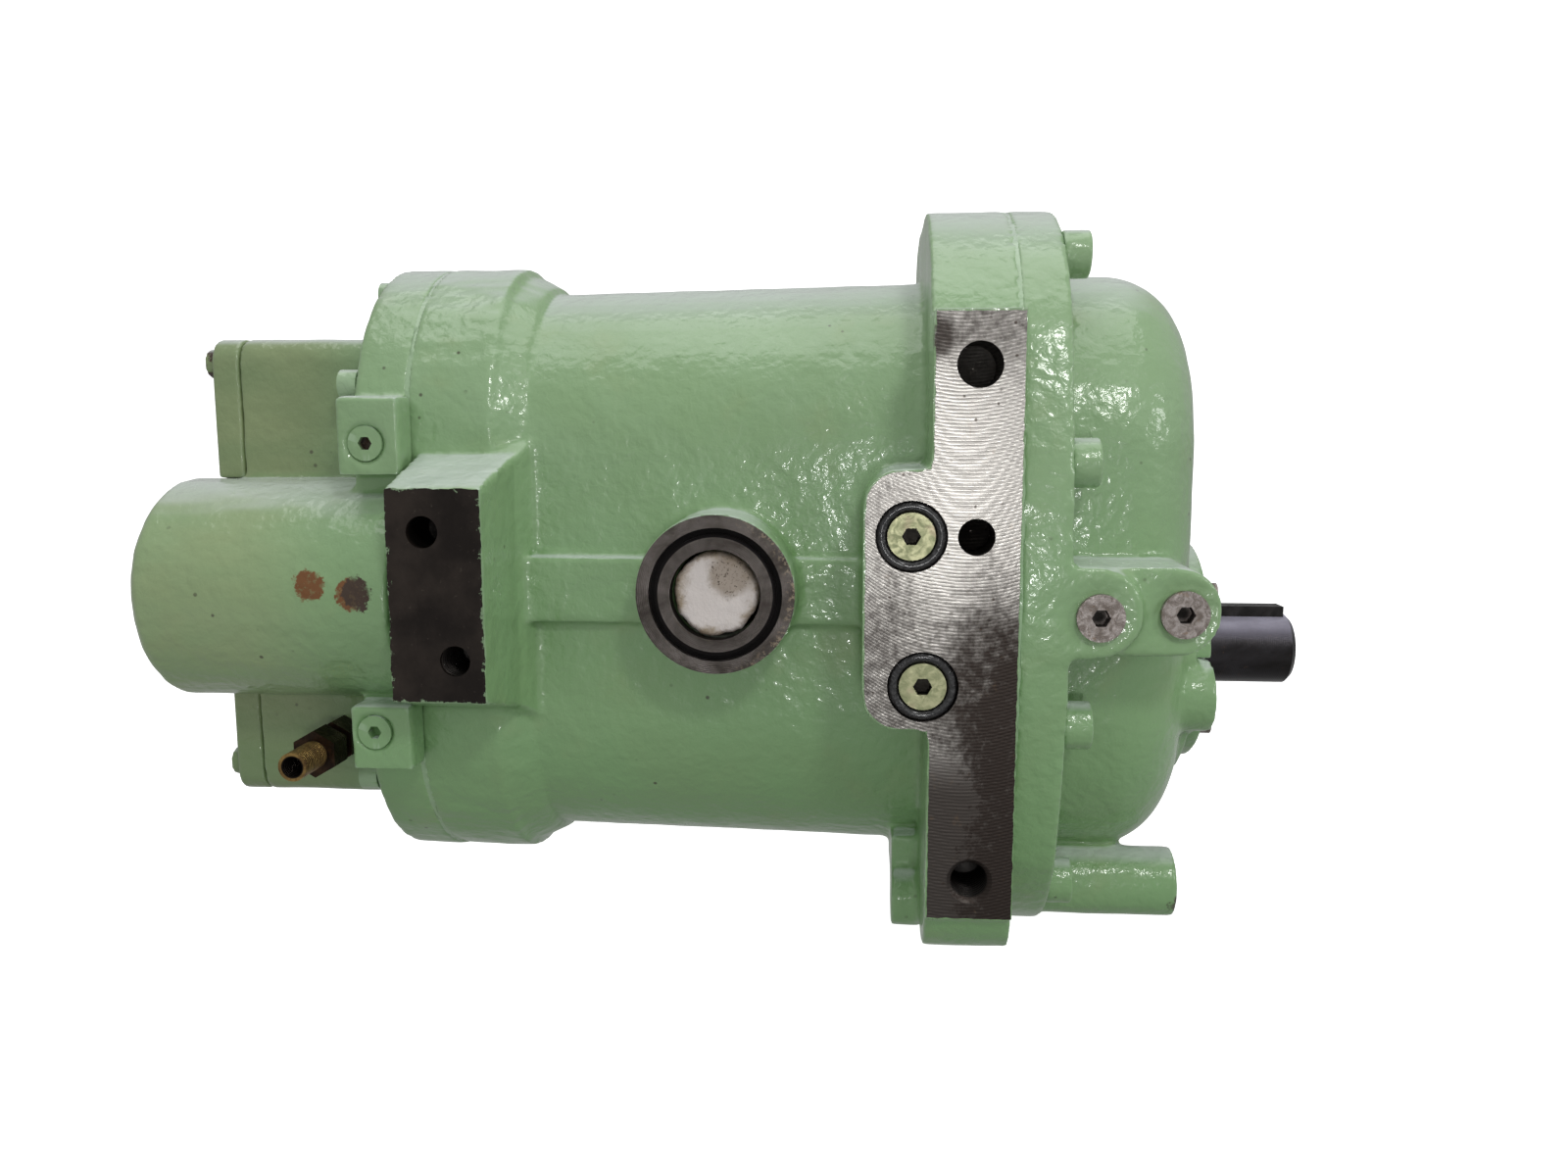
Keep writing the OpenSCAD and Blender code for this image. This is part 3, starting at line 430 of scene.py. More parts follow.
def machined_iron():
    """Fly-cut cast iron: crossing arcs left by the cutter. Brighter across the upper middle, a painted
    highlight left by painted shade at the top and on the ear; darker below, partly with dirt and stains and
    partly painted shade.
    """
    s = Shader("machined_iron", Metallic=0.85)
    x, z = s.axis("X"), s.axis("Z")
    off = s.math("SUBTRACT", x, -0.004)
    reach = s.math("SQRT", s.math("SUBTRACT", 0.062**2, s.math("MULTIPLY", off, off)))
    arcs = []
    for sign, pitch in ((1, 0.0013), (-1, 0.0017)):
        along = s.math("MULTIPLY_ADD", reach, sign, z)
        along = s.math("ADD", along, s.math("MULTIPLY", s.noise(0.02, 2, seed=4.0), 0.0016))
        arcs.append(s.math("SINE", s.math("MULTIPLY", along, 2 * math.pi / pitch)))
    weave = s.math("MULTIPLY_ADD", arcs[1], 0.6, arcs[0])
    patch = s.noise(0.028, 5, 0.62, 0.5)
    mottled = s.noise(0.0032, 4, 0.7, seed=6.0)
    # darker towards the bottom, partly dirt and partly painted shade; the lower right darker still with dirt
    low = s.step(z, 0.050, -0.045)
    right = s.step(x, -0.024, 0.012)
    dark = s.math("MULTIPLY_ADD", s.math("MULTIPLY", low, right), 0.70, s.math("MULTIPLY", low, 0.36))
    # painted shade: the ear and the top of the pad turn darker, so that the middle stands brighter as a
    # painted reflection
    dark = s.math("MULTIPLY_ADD", s.step(x, -0.010, -0.034), 0.24, dark)
    dark = s.math("MULTIPLY_ADD", s.step(z, 0.070, 0.100), 0.45, dark)
    dark = s.math("ADD", dark, s.math("MULTIPLY", s.math("SUBTRACT", patch, 0.5), 0.95))
    dark = s.math("ADD", dark, s.math("MULTIPLY", s.math("SUBTRACT", mottled, 0.5), 1.1))
    # the bottom band darkest of all, partly dirt and partly painted shade
    bottom = s.step(z, -0.035, -0.075)
    dark = s.math("MAXIMUM", s.step(dark, 0.02, 0.95), s.math("MULTIPLY", bottom, 0.93))
    colour = s.mix(dark, (0.47, 0.45, 0.42), (0.036, 0.027, 0.023))
    pits = s.step(s.cells(0.0065, seed=2.2), 0.13, 0.06)
    pits = s.math("MULTIPLY", pits, s.step(s.noise(0.02, 2, seed=8.0), 0.45, 0.6))
    colour = s.mix(s.math("MULTIPLY", pits, 0.85), colour, (0.045, 0.03, 0.022))
    rusty = s.step(s.noise(0.009, 4, 0.7, seed=9.0), 0.6, 0.75)
    colour = s.mix(s.math("MULTIPLY", rusty, 0.35), colour, (0.20, 0.13, 0.07))
    colour = s.mix(s.step(arcs[0], -0.2, 1.0, 0, 0.16), colour, (0.10, 0.09, 0.08))
    corner = s.near((-0.016, 0, 0.098), 0.009, patch, 0.012)
    colour = s.mix(s.math("MULTIPLY", corner, 0.85), colour, (0.03, 0.022, 0.018))
    # painted shade: the walls of the holes turn nearly black below the face, less so at their far end
    depth = s.axis("Y")
    inner = s.math("MULTIPLY", s.step(depth, 0.8 * MM, 3 * MM), s.step(depth, 31 * MM, 27 * MM, 0.35, 1))
    colour = s.mix(s.math("MULTIPLY", inner, 0.93), colour, (0.016, 0.012, 0.010))
    rough = s.math("MULTIPLY_ADD", arcs[0], 0.04, s.step(dark, 0, 1, 0.33, 0.46))
    s.set(Base_Color=colour, Roughness=rough)
    s.set(Normal=s.bump((weave, 0.000018), (mottled, 0.00008)))
    return s.material


def dark_pad():
    """Second machined pad: a thin dark film of old oil, with flecks of paint left along its edges."""
    s = Shader("oiled_iron", Metallic=0.7)
    cloud = s.noise(0.03, 4, 0.6)
    grain = s.noise(0.0025, 3, 0.7, seed=1.0)
    colour = s.mix(s.step(cloud, 0.35, 0.7), (0.016, 0.012, 0.010), (0.042, 0.032, 0.026))
    colour = s.mix(s.step(grain, 0.62, 0.75, 0, 0.5), colour, (0.12, 0.10, 0.08))
    x = s.math("ABSOLUTE", s.math("ADD", s.axis("X"), 206.6 * MM))
    z = s.math("ABSOLUTE", s.math("SUBTRACT", s.axis("Z"), 0.5 * MM))
    rim = s.math("MAXIMUM", s.math("SUBTRACT", x, 18.6 * MM), s.math("SUBTRACT", z, 41.6 * MM))
    torn = s.math("MULTIPLY_ADD", s.noise(0.005, 5, 0.75, seed=4.0), 14 * MM, rim)
    fleck = s.math("MULTIPLY", s.step(torn, 7.2 * MM, 7.6 * MM), s.step(s.axis("Y"), 1.5 * MM, 0.5 * MM))
    colour = s.mix(fleck, colour, (0.20, 0.30, 0.17))
    # painted shade: nearly black below the face, down the holes and threads
    colour = s.mix(s.step(s.axis("Y"), 1 * MM, 4 * MM, 0, 0.85), colour, (0.006, 0.005, 0.004))
    s.set(Base_Color=colour, Roughness=s.step(cloud, 0.3, 0.7, 0.36, 0.52))
    s.set(Metallic=s.math("MULTIPLY_ADD", fleck, -0.7, 0.7))
    s.set(Normal=s.bump((grain, 0.00012), (s.noise(0.012, 2), 0.0003)))
    return s.material


def port_iron():
    """Lathe-turned port face: fine rings, a black seal groove and a duller inner land."""
    s = Shader("port_iron", Metallic=0.85, Anisotropic=0.75)
    away = s.radius(port)
    rings = s.math("SINE", s.math("MULTIPLY", away, 2 * math.pi / 0.0007))
    cloud = s.noise(0.016, 5, 0.65, 0.6)
    grain = s.noise(0.002, 3, 0.7, seed=2.0)
    colour = s.mix(s.step(cloud, 0.35, 0.70), (0.135, 0.120, 0.110), (0.055, 0.046, 0.040))
    colour = s.mix(s.step(away, 0.0215, 0.0235, 0.35, 0), colour, (0.05, 0.042, 0.038))
    rim = s.math("MULTIPLY", s.step(away, 0.0270, 0.0310), s.step(grain, 0.50, 0.62))
    rim = s.math("MULTIPLY", rim, s.step(s.axis("X"), -0.100, -0.075))
    colour = s.mix(s.math("MULTIPLY", rim, 0.8), colour, (0.30, 0.24, 0.17))
    groove = s.math("MULTIPLY", s.step(away, 0.0226, 0.0230), s.step(away, 0.0267, 0.0263))
    colour = s.mix(groove, colour, (0.006, 0.005, 0.005))
    s.set(Base_Color=colour, Roughness=s.step(cloud, 0.3, 0.7, 0.30, 0.42))
    s.set(Metallic=s.math("MULTIPLY_ADD", groove, -0.85, 0.85))
    s.set(Specular_IOR_Level=s.step(groove, 0, 1, 0.5, 0.05))
    s.set(Normal=s.bump((rings, 0.00002), (grain, 0.00006)))
    turn = s.tree.nodes.new("ShaderNodeTangent")
    turn.direction_type, turn.axis = "RADIAL", "Y"
    s.set(Tangent=turn.outputs[0])
    return s.material


def shaft_steel():
    """Dark oxidised steel, turned round the shaft's axis."""
    s = Shader("shaft_steel", Metallic=0.9)
    x = s.axis("X")
    marks = s.math("SINE", s.math("MULTIPLY", x, 2 * math.pi / 0.0008))
    cloud = s.noise(0.02, 5, 0.6, 0.4, stretch=(0.4, 1, 1))
    colour = s.mix(s.step(cloud, 0.35, 0.7), (0.022, 0.020, 0.019), (0.050, 0.047, 0.052))
    colour = s.mix(s.step(s.noise(0.004, 4, 0.7, seed=3.0), 0.6, 0.75, 0, 0.4), colour, (0.12, 0.075, 0.05))
    # painted highlight: faces of the shaft that look up turn pale and less metallic, for a highlight along
    # its top
    painted_top_highlight = s.math("MULTIPLY", s.step(upward(s), 0.30, 0.85), s.step(cloud, 0.7, 0.35, 0.6, 1))
    colour = s.mix(painted_top_highlight, colour, (0.42, 0.40, 0.50))
    s.set(Base_Color=colour, Roughness=s.step(cloud, 0.3, 0.7, 0.24, 0.36))
    s.set(Metallic=s.step(painted_top_highlight, 0, 1, 0.9, 0.25))
    s.set(Normal=s.bump((marks, 0.00001), (s.noise(0.0015, 2), 0.00003)))
    return s.material


def plain_metal(name, light, dark, rough=(0.25, 0.45), metallic=0.9, grain_size=0.003, bump=0.00006):
    """Metal with a soft mottle, for parts inside and small fittings."""
    s = Shader(name, Metallic=metallic)
    cloud = s.noise(0.01, 5, 0.6, 0.4)
    grain = s.noise(grain_size, 3, 0.65, seed=1.0)
    s.set(Base_Color=s.mix(s.step(cloud, 0.35, 0.68), light, dark), Roughness=s.step(grain, 0.3, 0.7, *rough))
    s.set(Normal=s.bump((grain, bump)))
    return s.material


def zinc_yellow():
    """Yellow chromate on zinc: pale brass green, mottled, with warm and pinkish glints."""
    s = Shader("zinc_yellow", Metallic=0.75)
    cloud = s.noise(0.004, 4, 0.7, 0.8)
    warm = s.noise(0.009, 3, 0.6, seed=5.0)
    colour = s.mix(s.step(cloud, 0.38, 0.62), (0.40, 0.40, 0.24), (0.27, 0.29, 0.16))
    colour = s.mix(s.step(warm, 0.55, 0.72, 0, 0.5), colour, (0.46, 0.36, 0.26))
    colour = s.mix(s.step(s.noise(0.0012, 3, 0.7, seed=2.0), 0.62, 0.74, 0, 0.7), colour, (0.12, 0.11, 0.07))
    # painted shade: the parts set deeper than the plug's face turn nearly black
    colour = s.mix(s.step(s.axis("Y"), 1.5 * MM, 2.6 * MM), colour, (0.012, 0.010, 0.007))
    s.set(Base_Color=colour, Roughness=s.step(cloud, 0.3, 0.7, 0.34, 0.50))
    s.set(Normal=s.bump((s.noise(0.0016, 3, 0.6), 0.00009)))
    return s.material


def worn_plug():
    """Plain steel plug face, scuffed, greyish with brown in its hollows."""
    s = Shader("plug_steel", Metallic=0.7)
    cloud = s.noise(0.003, 5, 0.7, 0.7)
    colour = s.mix(s.step(cloud, 0.35, 0.65), (0.40, 0.36, 0.34), (0.18, 0.15, 0.13))
    colour = s.mix(s.step(s.noise(0.0045, 4, 0.7, seed=3.0), 0.57, 0.7, 0, 0.6), colour, (0.20, 0.12, 0.06))
    # painted shade: the two hex sockets turn nearly black
    for x, y, z in ((46.5, 4, -5), (78.5, 9, -4.2)):
        colour = s.mix(s.near((x * MM, y * MM, z * MM), 5.0 * MM), colour, (0.010, 0.008, 0.006))
    s.set(Base_Color=colour, Roughness=s.step(cloud, 0.3, 0.7, 0.34, 0.55))
    s.set(Normal=s.bump((s.noise(0.0014, 4, 0.7), 0.00022)))
    return s.material


def wet_rubber():
    """Black seal, wet with oil and gritty."""
    s = Shader("seal_rubber", Metallic=0.0, Coat_Weight=0.6, Coat_Roughness=0.12)
    grit = s.noise(0.0011, 3, 0.75, 0.4)
    lumps = s.cells(0.0016)
    s.set(Base_Color=s.mix(s.step(grit, 0.55, 0.8), (0.010, 0.010, 0.011), (0.045, 0.045, 0.048)))
    s.set(Roughness=s.step(grit, 0.3, 0.7, 0.22, 0.5))
    s.set(Normal=s.bump((lumps, 0.0005), (grit, 0.0003)))
    return s.material


def cap_plastic():
    """White plastic, chalky, with brown dirt round the rim and one grey smudge."""
    s = Shader("cap_plastic", Metallic=0.0, Roughness=0.6, Subsurface_Weight=0.1)
    s.set(Subsurface_Radius=(0.002, 0.0018, 0.0016))
    ragged = s.noise(0.009, 5, 0.7, 0.4)
    centre = mid("port_cap")
    away = s.node("ShaderNodeVectorMath", s.place, tuple(centre), out=1, operation="DISTANCE")
    torn = s.math("MULTIPLY", s.math("SUBTRACT", ragged, 0.5), 0.016)
    rim = s.step(s.math("ADD", away, torn), 0.0135, 0.0185)
    colour = s.mix(rim, (0.68, 0.63, 0.60), (0.36, 0.29, 0.21))
    smudge = s.near((centre.x + 0.006, centre.y - 0.006, centre.z + 0.008), 0.011, ragged, 0.012)
    colour = s.mix(s.math("MULTIPLY", smudge, 0.75), colour, (0.27, 0.21, 0.15))
    specks = s.step(s.noise(0.0012, 3, 0.75, seed=3.0), 0.56, 0.66)
    dirty = s.math("MAXIMUM", smudge, s.math("MULTIPLY", rim, 0.7))
    colour = s.mix(s.math("MULTIPLY", specks, dirty), colour, (0.05, 0.035, 0.02))
    s.set(Base_Color=colour, Normal=s.bump((s.noise(0.004, 4, 0.6), 0.0004), (s.noise(0.0010, 2), 0.0001)))
    return s.material


def fitting_brass():
    """Brass fitting: bright threaded nose, and a body dark with oil and rust."""
    s = Shader("brass", Metallic=0.85)
    y = s.axis("Y")
    nose = s.step(y, fitting_low.y + 17 * MM, fitting_low.y + 19 * MM, 1, 0)
    cloud = s.noise(0.006, 4, 0.7, 0.5)
    dark = s.mix(s.step(cloud, 0.35, 0.65), (0.055, 0.030, 0.016), (0.020, 0.013, 0.009))
    bright = s.mix(s.step(cloud, 0.4, 0.7), (0.36, 0.235, 0.08), (0.12, 0.07, 0.028))
    thread = s.math("SINE", s.math("MULTIPLY", y, 2 * math.pi / 0.0013))
    # painted shade: the valleys of the thread turn darker
    groove = s.math("MULTIPLY", s.step(thread, -0.1, -0.8, 0, 0.75), nose)
    colour = s.mix(groove, s.mix(nose, dark, bright), (0.05, 0.028, 0.012))
    # painted shade: the bore of the nose turns nearly black
    away = s.radius(mid("oil_fitting"))
    colour = s.mix(s.step(away, 4.9 * MM, 4.5 * MM), colour, (0.010, 0.007, 0.005))
    s.set(Base_Color=colour, Roughness=s.step(cloud, 0.3, 0.7, 0.25, 0.5))
    s.set(Normal=s.bump((s.math("MULTIPLY", thread, nose), 0.00035), (s.noise(0.002, 3, 0.7), 0.0002)))
    return s.material


# ---------------------------------------------------------------- places read from the frame

housing_low, housing_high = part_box("rotor_housing")
cover_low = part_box("drive_cover")[0]
end_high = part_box("end_housing")[1]
joint_end = housing_low.x
joint_cover = housing_high.x
foot_y = housing_low.y
port = Vector((-100 * MM, 16 * MM, 0))
fitting_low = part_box("oil_fitting")[0]

STAINS = [
    (Vector((-0.262, 0.0112, 0.003)), 0.0085, RUST),
    (Vector((-0.2455, 0.0112, -0.001)), 0.0085, RUST),
    (Vector((-0.2415, 0.0112, 0.0)), 0.0085, BROWN),
    (Vector((-0.328, 0.070, 0.093)), 0.009, BROWN),
    (Vector((0.095, 0.064, -0.139)), 0.008, DIRT),
    (Vector((-0.0180, 0.001, 0.098)), 0.006, DIRT),
    # a deeper green patch below the rear pad's lower right corner
    (Vector((-0.190, 0.030, -0.058)), 0.010, MINT_DEEP),
]
# insides of the painted plugs' hex sockets: brown in one, partly dirt and partly painted shade of the recess;
# deeper green in the other, painted shade
SOCKETS = [
    (Vector((-0.2410, 0.0252, 0.0590)), 0.0046, BROWN),
    (Vector((-0.2427, 0.0252, -0.0595)), 0.0046, MINT_DEEP),
]

GREEN = enamel()
IRON = machined_iron()
OILED = dark_pad()


# ---------------------------------------------------------------- castings

# castings stay sharp this near to a joint face, and are fully softened beyond
JOINT_FADE = (0.5 * MM, 2.5 * MM)
FACE_DEPTH = 1.4 * MM
CAST_ROUNDS = 5


def hole_cup(x, z, r, depth, wall=1.6 * MM):
    """Solid round a hole in the front, to cut the hole's crisp lining out of the CAD casting."""
    return rod("cup", (x, -MM, z), (0, 1, 0), depth + MM, r + wall)


def rounded_outline(x0, x1, z0, z1, r, steps=8):
    """Rectangle with round corners, as (x, z)."""
    points = []
    corners = ((x1 - r, z1 - r, 0), (x0 + r, z1 - r, 90), (x0 + r, z0 + r, 180), (x1 - r, z0 + r, 270))
    for cx, cz, start in corners:
        for i in range(steps + 1):
            a = math.radians(start + 90 * i / steps)
            points.append((cx + r * math.cos(a), cz + r * math.sin(a)))
    return points


def foot_outline(inset):
    """Outline of the foot pad and its ear, as (x, z), followed clockwise from the top right."""
    left, right = -17 * MM, joint_cover - 0.3 * MM
    top, bottom = 108 * MM, -124 * MM
    ear_left, ear_top, ear_bottom = -42 * MM, 50 * MM, -49 * MM
    r, fillet = 14 * MM, 6 * MM
    points = [(right, top - inset), (right, bottom + inset), (left + inset, bottom + inset)]
    for k in range(7):
        a = math.pi / 2 * k / 6
        x = left + inset - fillet + fillet * math.cos(a)
        points.append((x, ear_bottom + inset - fillet + fillet * math.sin(a)))
    for cz, start in ((ear_bottom + r, 270), (ear_top - r, 180)):
        for k in range(9):
            a = math.radians(start - 90 * k / 8)
            points.append((ear_left + r + (r - inset) * math.cos(a), cz + (r - inset) * math.sin(a)))
    for k in range(7):
        a = math.pi / 2 * k / 6
        x = left + inset - fillet + fillet * math.sin(a)
        points.append((x, ear_top - inset + fillet - fillet * math.cos(a)))
    points.append((left + inset, top - inset))
    return points


def ragged(points, amount, spacing=1.5 * MM):
    """The outline cut into short steps, each moved a little."""
    out = []
    for (ax, az), (bx, bz) in zip(points, points[1:] + points[:1]):
        length = math.hypot(bx - ax, bz - az)
        n = max(1, int(length / spacing))
        for i in range(n):
            x, z = ax + (bx - ax) * i / n, az + (bz - az) * i / n
            push = noise.noise(Vector((x, 0, z)) * 300) + 0.5 * noise.noise(Vector((x, 1, z)) * 900)
            nx, nz = (bz - az) / length, -(bx - ax) / length
            out.append((x + nx * push * amount, z + nz * push * amount))
    return out


def inside(co, outline):
    """Which points lie in an outline of (x, z)."""
    x, z = co[:, 0], co[:, 2]
    hit = np.zeros(len(co), bool)
    for (ax, az), (bx, bz) in zip(outline, outline[1:] + outline[:1]):
        if az != bz:
            cross = (bx - ax) * (z - az) / (bz - az) + ax
            hit ^= ((az > z) != (bz > z)) & (x < cross)
    return hit


# machined faces and their holes: a pad is x0, x1, z0, z1, and a hole is x, z, radius, depth
REAR_PAD = (-225.2 * MM, -187.9 * MM, -41.1 * MM, 42.1 * MM)
FOOT_HOLES = [
    (0, 88 * MM, 8.5 * MM, 36 * MM),
    (0, 25 * MM, 6.9 * MM, 29 * MM),
    (0, -108 * MM, 8 * MM, 36 * MM),
]
EAR_HOLES = [(-24 * MM, 25 * MM, 13.5 * MM, 6 * MM), (-19 * MM, -32 * MM, 13.5 * MM, 6 * MM)]
REAR_HOLES = [(-210.9 * MM, 25.5 * MM, 6.25 * MM, 29 * MM), (-199.6 * MM, -24.7 * MM, 7 * MM, 29 * MM)]
# threads that show in their holes: x, z, radius, how deep the first turn starts
THREADS = [(0, -108 * MM, 8 * MM, 1.2 * MM), (-199.6 * MM, -24.7 * MM, 7 * MM, 0.4 * MM)]


def machined_face(name, mould, material, bevel=0.25 * MM):
    """A machined face, cut out of the CAD casting by a mould, with its edges broken."""
    obj = copy_node("rotor_housing", name)
    boolean(obj, [mould], "INTERSECT")
    modify(obj, "BEVEL", width=bevel, segments=2, limit_method="ANGLE", angle_limit=math.radians(40))
    bake(obj)
    return finish(shade(obj, 30, True), material, "casing", "rotor_housing", slot="machined_iron")


def build_housing():
    obj = copy_node("rotor_housing", "rotor_housing_cast")
    cutters = [hole_cup(x, z, r, d, 0.9 * MM) for x, z, r, d in FOOT_HOLES + EAR_HOLES + REAR_HOLES]
    cutters.append(rod("cut", port - Vector((0, MM, 0)), (0, 1, 0), 7 * MM, 30 * MM, 96))
    boolean(obj, cutters, "DIFFERENCE")
    port_face = port.y

    def softness(co):
        x = co[:, 0]
        near_end, near_cover = (ramp(gap, *JOINT_FADE) for gap in (x - joint_end, joint_cover - x))
        near_joint = np.minimum(near_end, near_cover)
        away = np.hypot(co[:, 0] - port.x, co[:, 2])
        on_port = (away < 33.5 * MM) & (co[:, 1] < port_face + 3 * MM)
        on_ring = ramp(x, -0.205, -0.200) * ramp(x, -0.176, -0.181)
        return np.where(on_port, 0.15, 0.05 + 0.95 * near_joint * (1 - 0.55 * on_ring))

    def uneven(co):
        ring = ramp(co[:, 0], -0.180, -0.190)
        amount = 0.28 * MM + 0.30 * MM * ring
        outside = (co[:, 1] < 0.034) | (co[:, 1] > 0.19) | (np.abs(co[:, 2]) > 0.05)
        height = noise_at(co, 0.022) * amount + noise_at(co, 0.009, 5) * amount * 0.45
        height += noise_at(co * (0.4, 1, 1), 0.0055, 9) * ring * 0.38 * MM
        away = np.hypot(co[:, 0] - port.x, co[:, 2])
        flat = (away < 30 * MM) | (np.abs(co[:, 0] - joint_end) < MM) | (np.abs(co[:, 0] - joint_cover) < MM)
        return np.where(outside & ~flat | (~flat & (co[:, 1] < 0.05)), height, 0)

    cast(obj, VOXEL, CAST_ROUNDS, softness, uneven)
    co = coords(obj)
    low = 0.25 * MM
    pad = inside(co, foot_outline(0.2 * MM)) & (co[:, 1] < 1.2 * MM)
    rear_x0, *rear_rest = REAR_PAD
    rear = inside(co, rounded_outline(rear_x0 - 0.1 * MM, *rear_rest, MM)) & (co[:, 1] < 1.2 * MM)
    away = np.hypot(co[:, 0] - port.x, co[:, 2])
    ring = (away < 31.5 * MM) & (co[:, 1] < port_face + 1.2 * MM)
    co[pad | rear, 1] = foot_y + low
    co[ring, 1] = port_face + low
    set_coords(obj, co)
    shade(obj, 50)
    finish(obj, GREEN, "casing", "rotor_housing", slot="enamel")

    slab = prism("slab", ragged(foot_outline(0.9 * MM), 0.35 * MM), -MM, FACE_DEPTH)
    mould = boolean(slab, [hole_cup(*hole) for hole in FOOT_HOLES[:2] + EAR_HOLES], "UNION")
    machined_face("foot_face", mould, IRON)

    outline = ragged(rounded_outline(*REAR_PAD, 0.8 * MM), 0.5 * MM)
    slab = prism("slab", outline, -MM, FACE_DEPTH)
    mould = boolean(slab, [hole_cup(*REAR_HOLES[0])], "UNION")
    machined_face("rear_pad_face", mould, OILED)

    for i, (x, z, r, mouth) in enumerate(THREADS):
        depth, pitch = 28 * MM, 2 * MM
        profile = [(mouth, r + 1.2 * MM), (mouth, r)]
        for k in range(int((depth - mouth) / pitch)):
            at = mouth + k * pitch
            profile += [(at + 0.8 * MM, r - 1.0 * MM), (at + 1.2 * MM, r - 1.0 * MM), (at + pitch, r)]
        end = profile[-1][0]
        profile += [(end + 3.5 * MM, 0), (end + 5 * MM, 0), (end + 1.5 * MM, r + 1.2 * MM)]
        thread = lathe(f"thread_{i}", profile, (x, foot_y, z), (0, 1, 0), 72)
        finish(shade(thread, 20), OILED, "casing", "rotor_housing", slot="machined_iron")

    mould = rod("mould", port - Vector((0, 2 * MM, 0)), (0, 1, 0), 9 * MM, 31.5 * MM, 96)
    machined_face("port_face", mould, port_iron(), 0.3 * MM)


build_housing()


def build_end_housing():
    obj = copy_node("end_housing", "end_housing_cast")

    def softness(co):
        return 0.05 + 0.95 * ramp(end_high.x - co[:, 0], *JOINT_FADE)

    def uneven(co):
        flat = np.abs(co[:, 0] - end_high.x) < MM
        height = noise_at(co, 0.020, 2) * 0.35 * MM + noise_at(co * (0.4, 1, 1), 0.006, 5) * 0.22 * MM
        return np.where(flat, 0, height)

    cast(obj, VOXEL, CAST_ROUNDS, softness, uneven, 150_000)
    finish(shade(obj, 50), GREEN, "casing", "end_housing", slot="enamel")


build_end_housing()


def build_cover():
    obj = copy_node("drive_cover", "drive_cover_cast")

    def softness(co):
        return 0.05 + 0.95 * ramp(co[:, 0] - cover_low.x, *JOINT_FADE)

    def uneven(co):
        flat = np.abs(co[:, 0] - cover_low.x) < MM
        return np.where(flat, 0, noise_at(co, 0.020, 4) * 0.30 * MM + noise_at(co, 0.008, 6) * 0.10 * MM)

    cast(obj, VOXEL, CAST_ROUNDS, softness, uneven, 170_000)
    finish(shade(obj, 50), GREEN, "casing", "drive_cover", slot="enamel")


build_cover()


def build_gasket(node, spread, width):
    """Gasket whose outer edge is bridged by a bead of paint, nearly flush with the castings."""
    obj = copy_node(node, node + "_painted")
    co = coords(obj).astype(float)
    centre = (co.min(0) + co.max(0)) / 2
    half = (co.max(0) - co.min(0)) / 2
    grow = 1 + spread / half
    grow[0] = width / 2 / half[0]
    moved = centre + (co - centre) * grow
    set_coords(obj, moved)
    finish(shade(obj, 40), GREEN, "casing", node, slot="gasket")


build_gasket("end_gasket", 0.1 * MM, 2.4 * MM)
build_gasket("cover_gasket", 0.1 * MM, 2.4 * MM)


def painted(node, name, voxel, rounds):
    """A small piece under the same paint: rounded evenly all over."""
    obj = copy_node(node, name)

    def softness(co):
        return np.ones(len(co))

    def uneven(co):
        return noise_at(co, 0.012, 8) * 0.08 * MM

    cast(obj, voxel, rounds, softness, uneven, 60_000)
    finish(shade(obj, 50), GREEN, "casing", node, slot="enamel")


painted("end_plate", "end_plate_painted", 1.1 * MM, 4)
painted("seal_cover", "seal_cover_painted", 1.1 * MM, 4)
painted("cover_bolts", "cover_bolts_painted", 0.8 * MM, 4)
painted("plate_bolts", "plate_bolts_painted", 0.6 * MM, 3)


def build_port_cap():
    """White disc pressed into the port: torn at its edge, with a shallow dished face."""
    low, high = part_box("port_cap")
    centre, r = (low + high) / 2, (high.x - low.x) / 2
    rings, spokes = 26, 120
    verts = [(centre.x, low.y + 0.6 * MM, centre.z)]
    for i in range(1, rings + 1):
        for j in range(spokes):
            a = 2 * math.pi * j / spokes
            torn = noise.noise(Vector((math.cos(a) * 2.2, math.sin(a) * 2.2, 0))) * 0.9
            torn += noise.noise(Vector((math.cos(a) * 7, math.sin(a) * 7, 3))) * 0.6
            edge = r - 1.3 * MM + torn * MM
            d = edge * i / rings
            dish = 0.6 * MM - 0.4 * MM * (i / rings) ** 2
            dish += noise.noise(Vector((d * math.cos(a), 0, d * math.sin(a))) * 220) * 0.25 * MM
            if i > rings - 3:
                dish += (i - rings + 3) ** 2 * 0.18 * MM
            verts.append((centre.x + d * math.cos(a), low.y + max(dish, 0.0), centre.z + d * math.sin(a)))
    faces = [(0, 1 + (j + 1) % spokes, 1 + j) for j in range(spokes)]
    for i in range(rings - 1):
        for j in range(spokes):
            k = (j + 1) % spokes
            a, b = 1 + i * spokes, 1 + (i + 1) * spokes
            faces.append((a + j, a + k, b + k, b + j))
    back = len(verts)
    last = 1 + (rings - 1) * spokes
    for j in range(spokes):
        x, _, z = verts[last + j]
        verts.append((x, high.y - MM, z))
    faces += [(last + j, last + (j + 1) % spokes, back + (j + 1) % spokes, back + j) for j in range(spokes)]
    faces.append(tuple(back + j for j in range(spokes)))
    obj = clean(make("port_cap_disc", verts, faces))
    finish(shade(obj, 50), cap_plastic(), "casing", "port_cap", slot="cap_plastic")


build_port_cap()


# ---------------------------------------------------------------- CAD pieces that keep their meshes

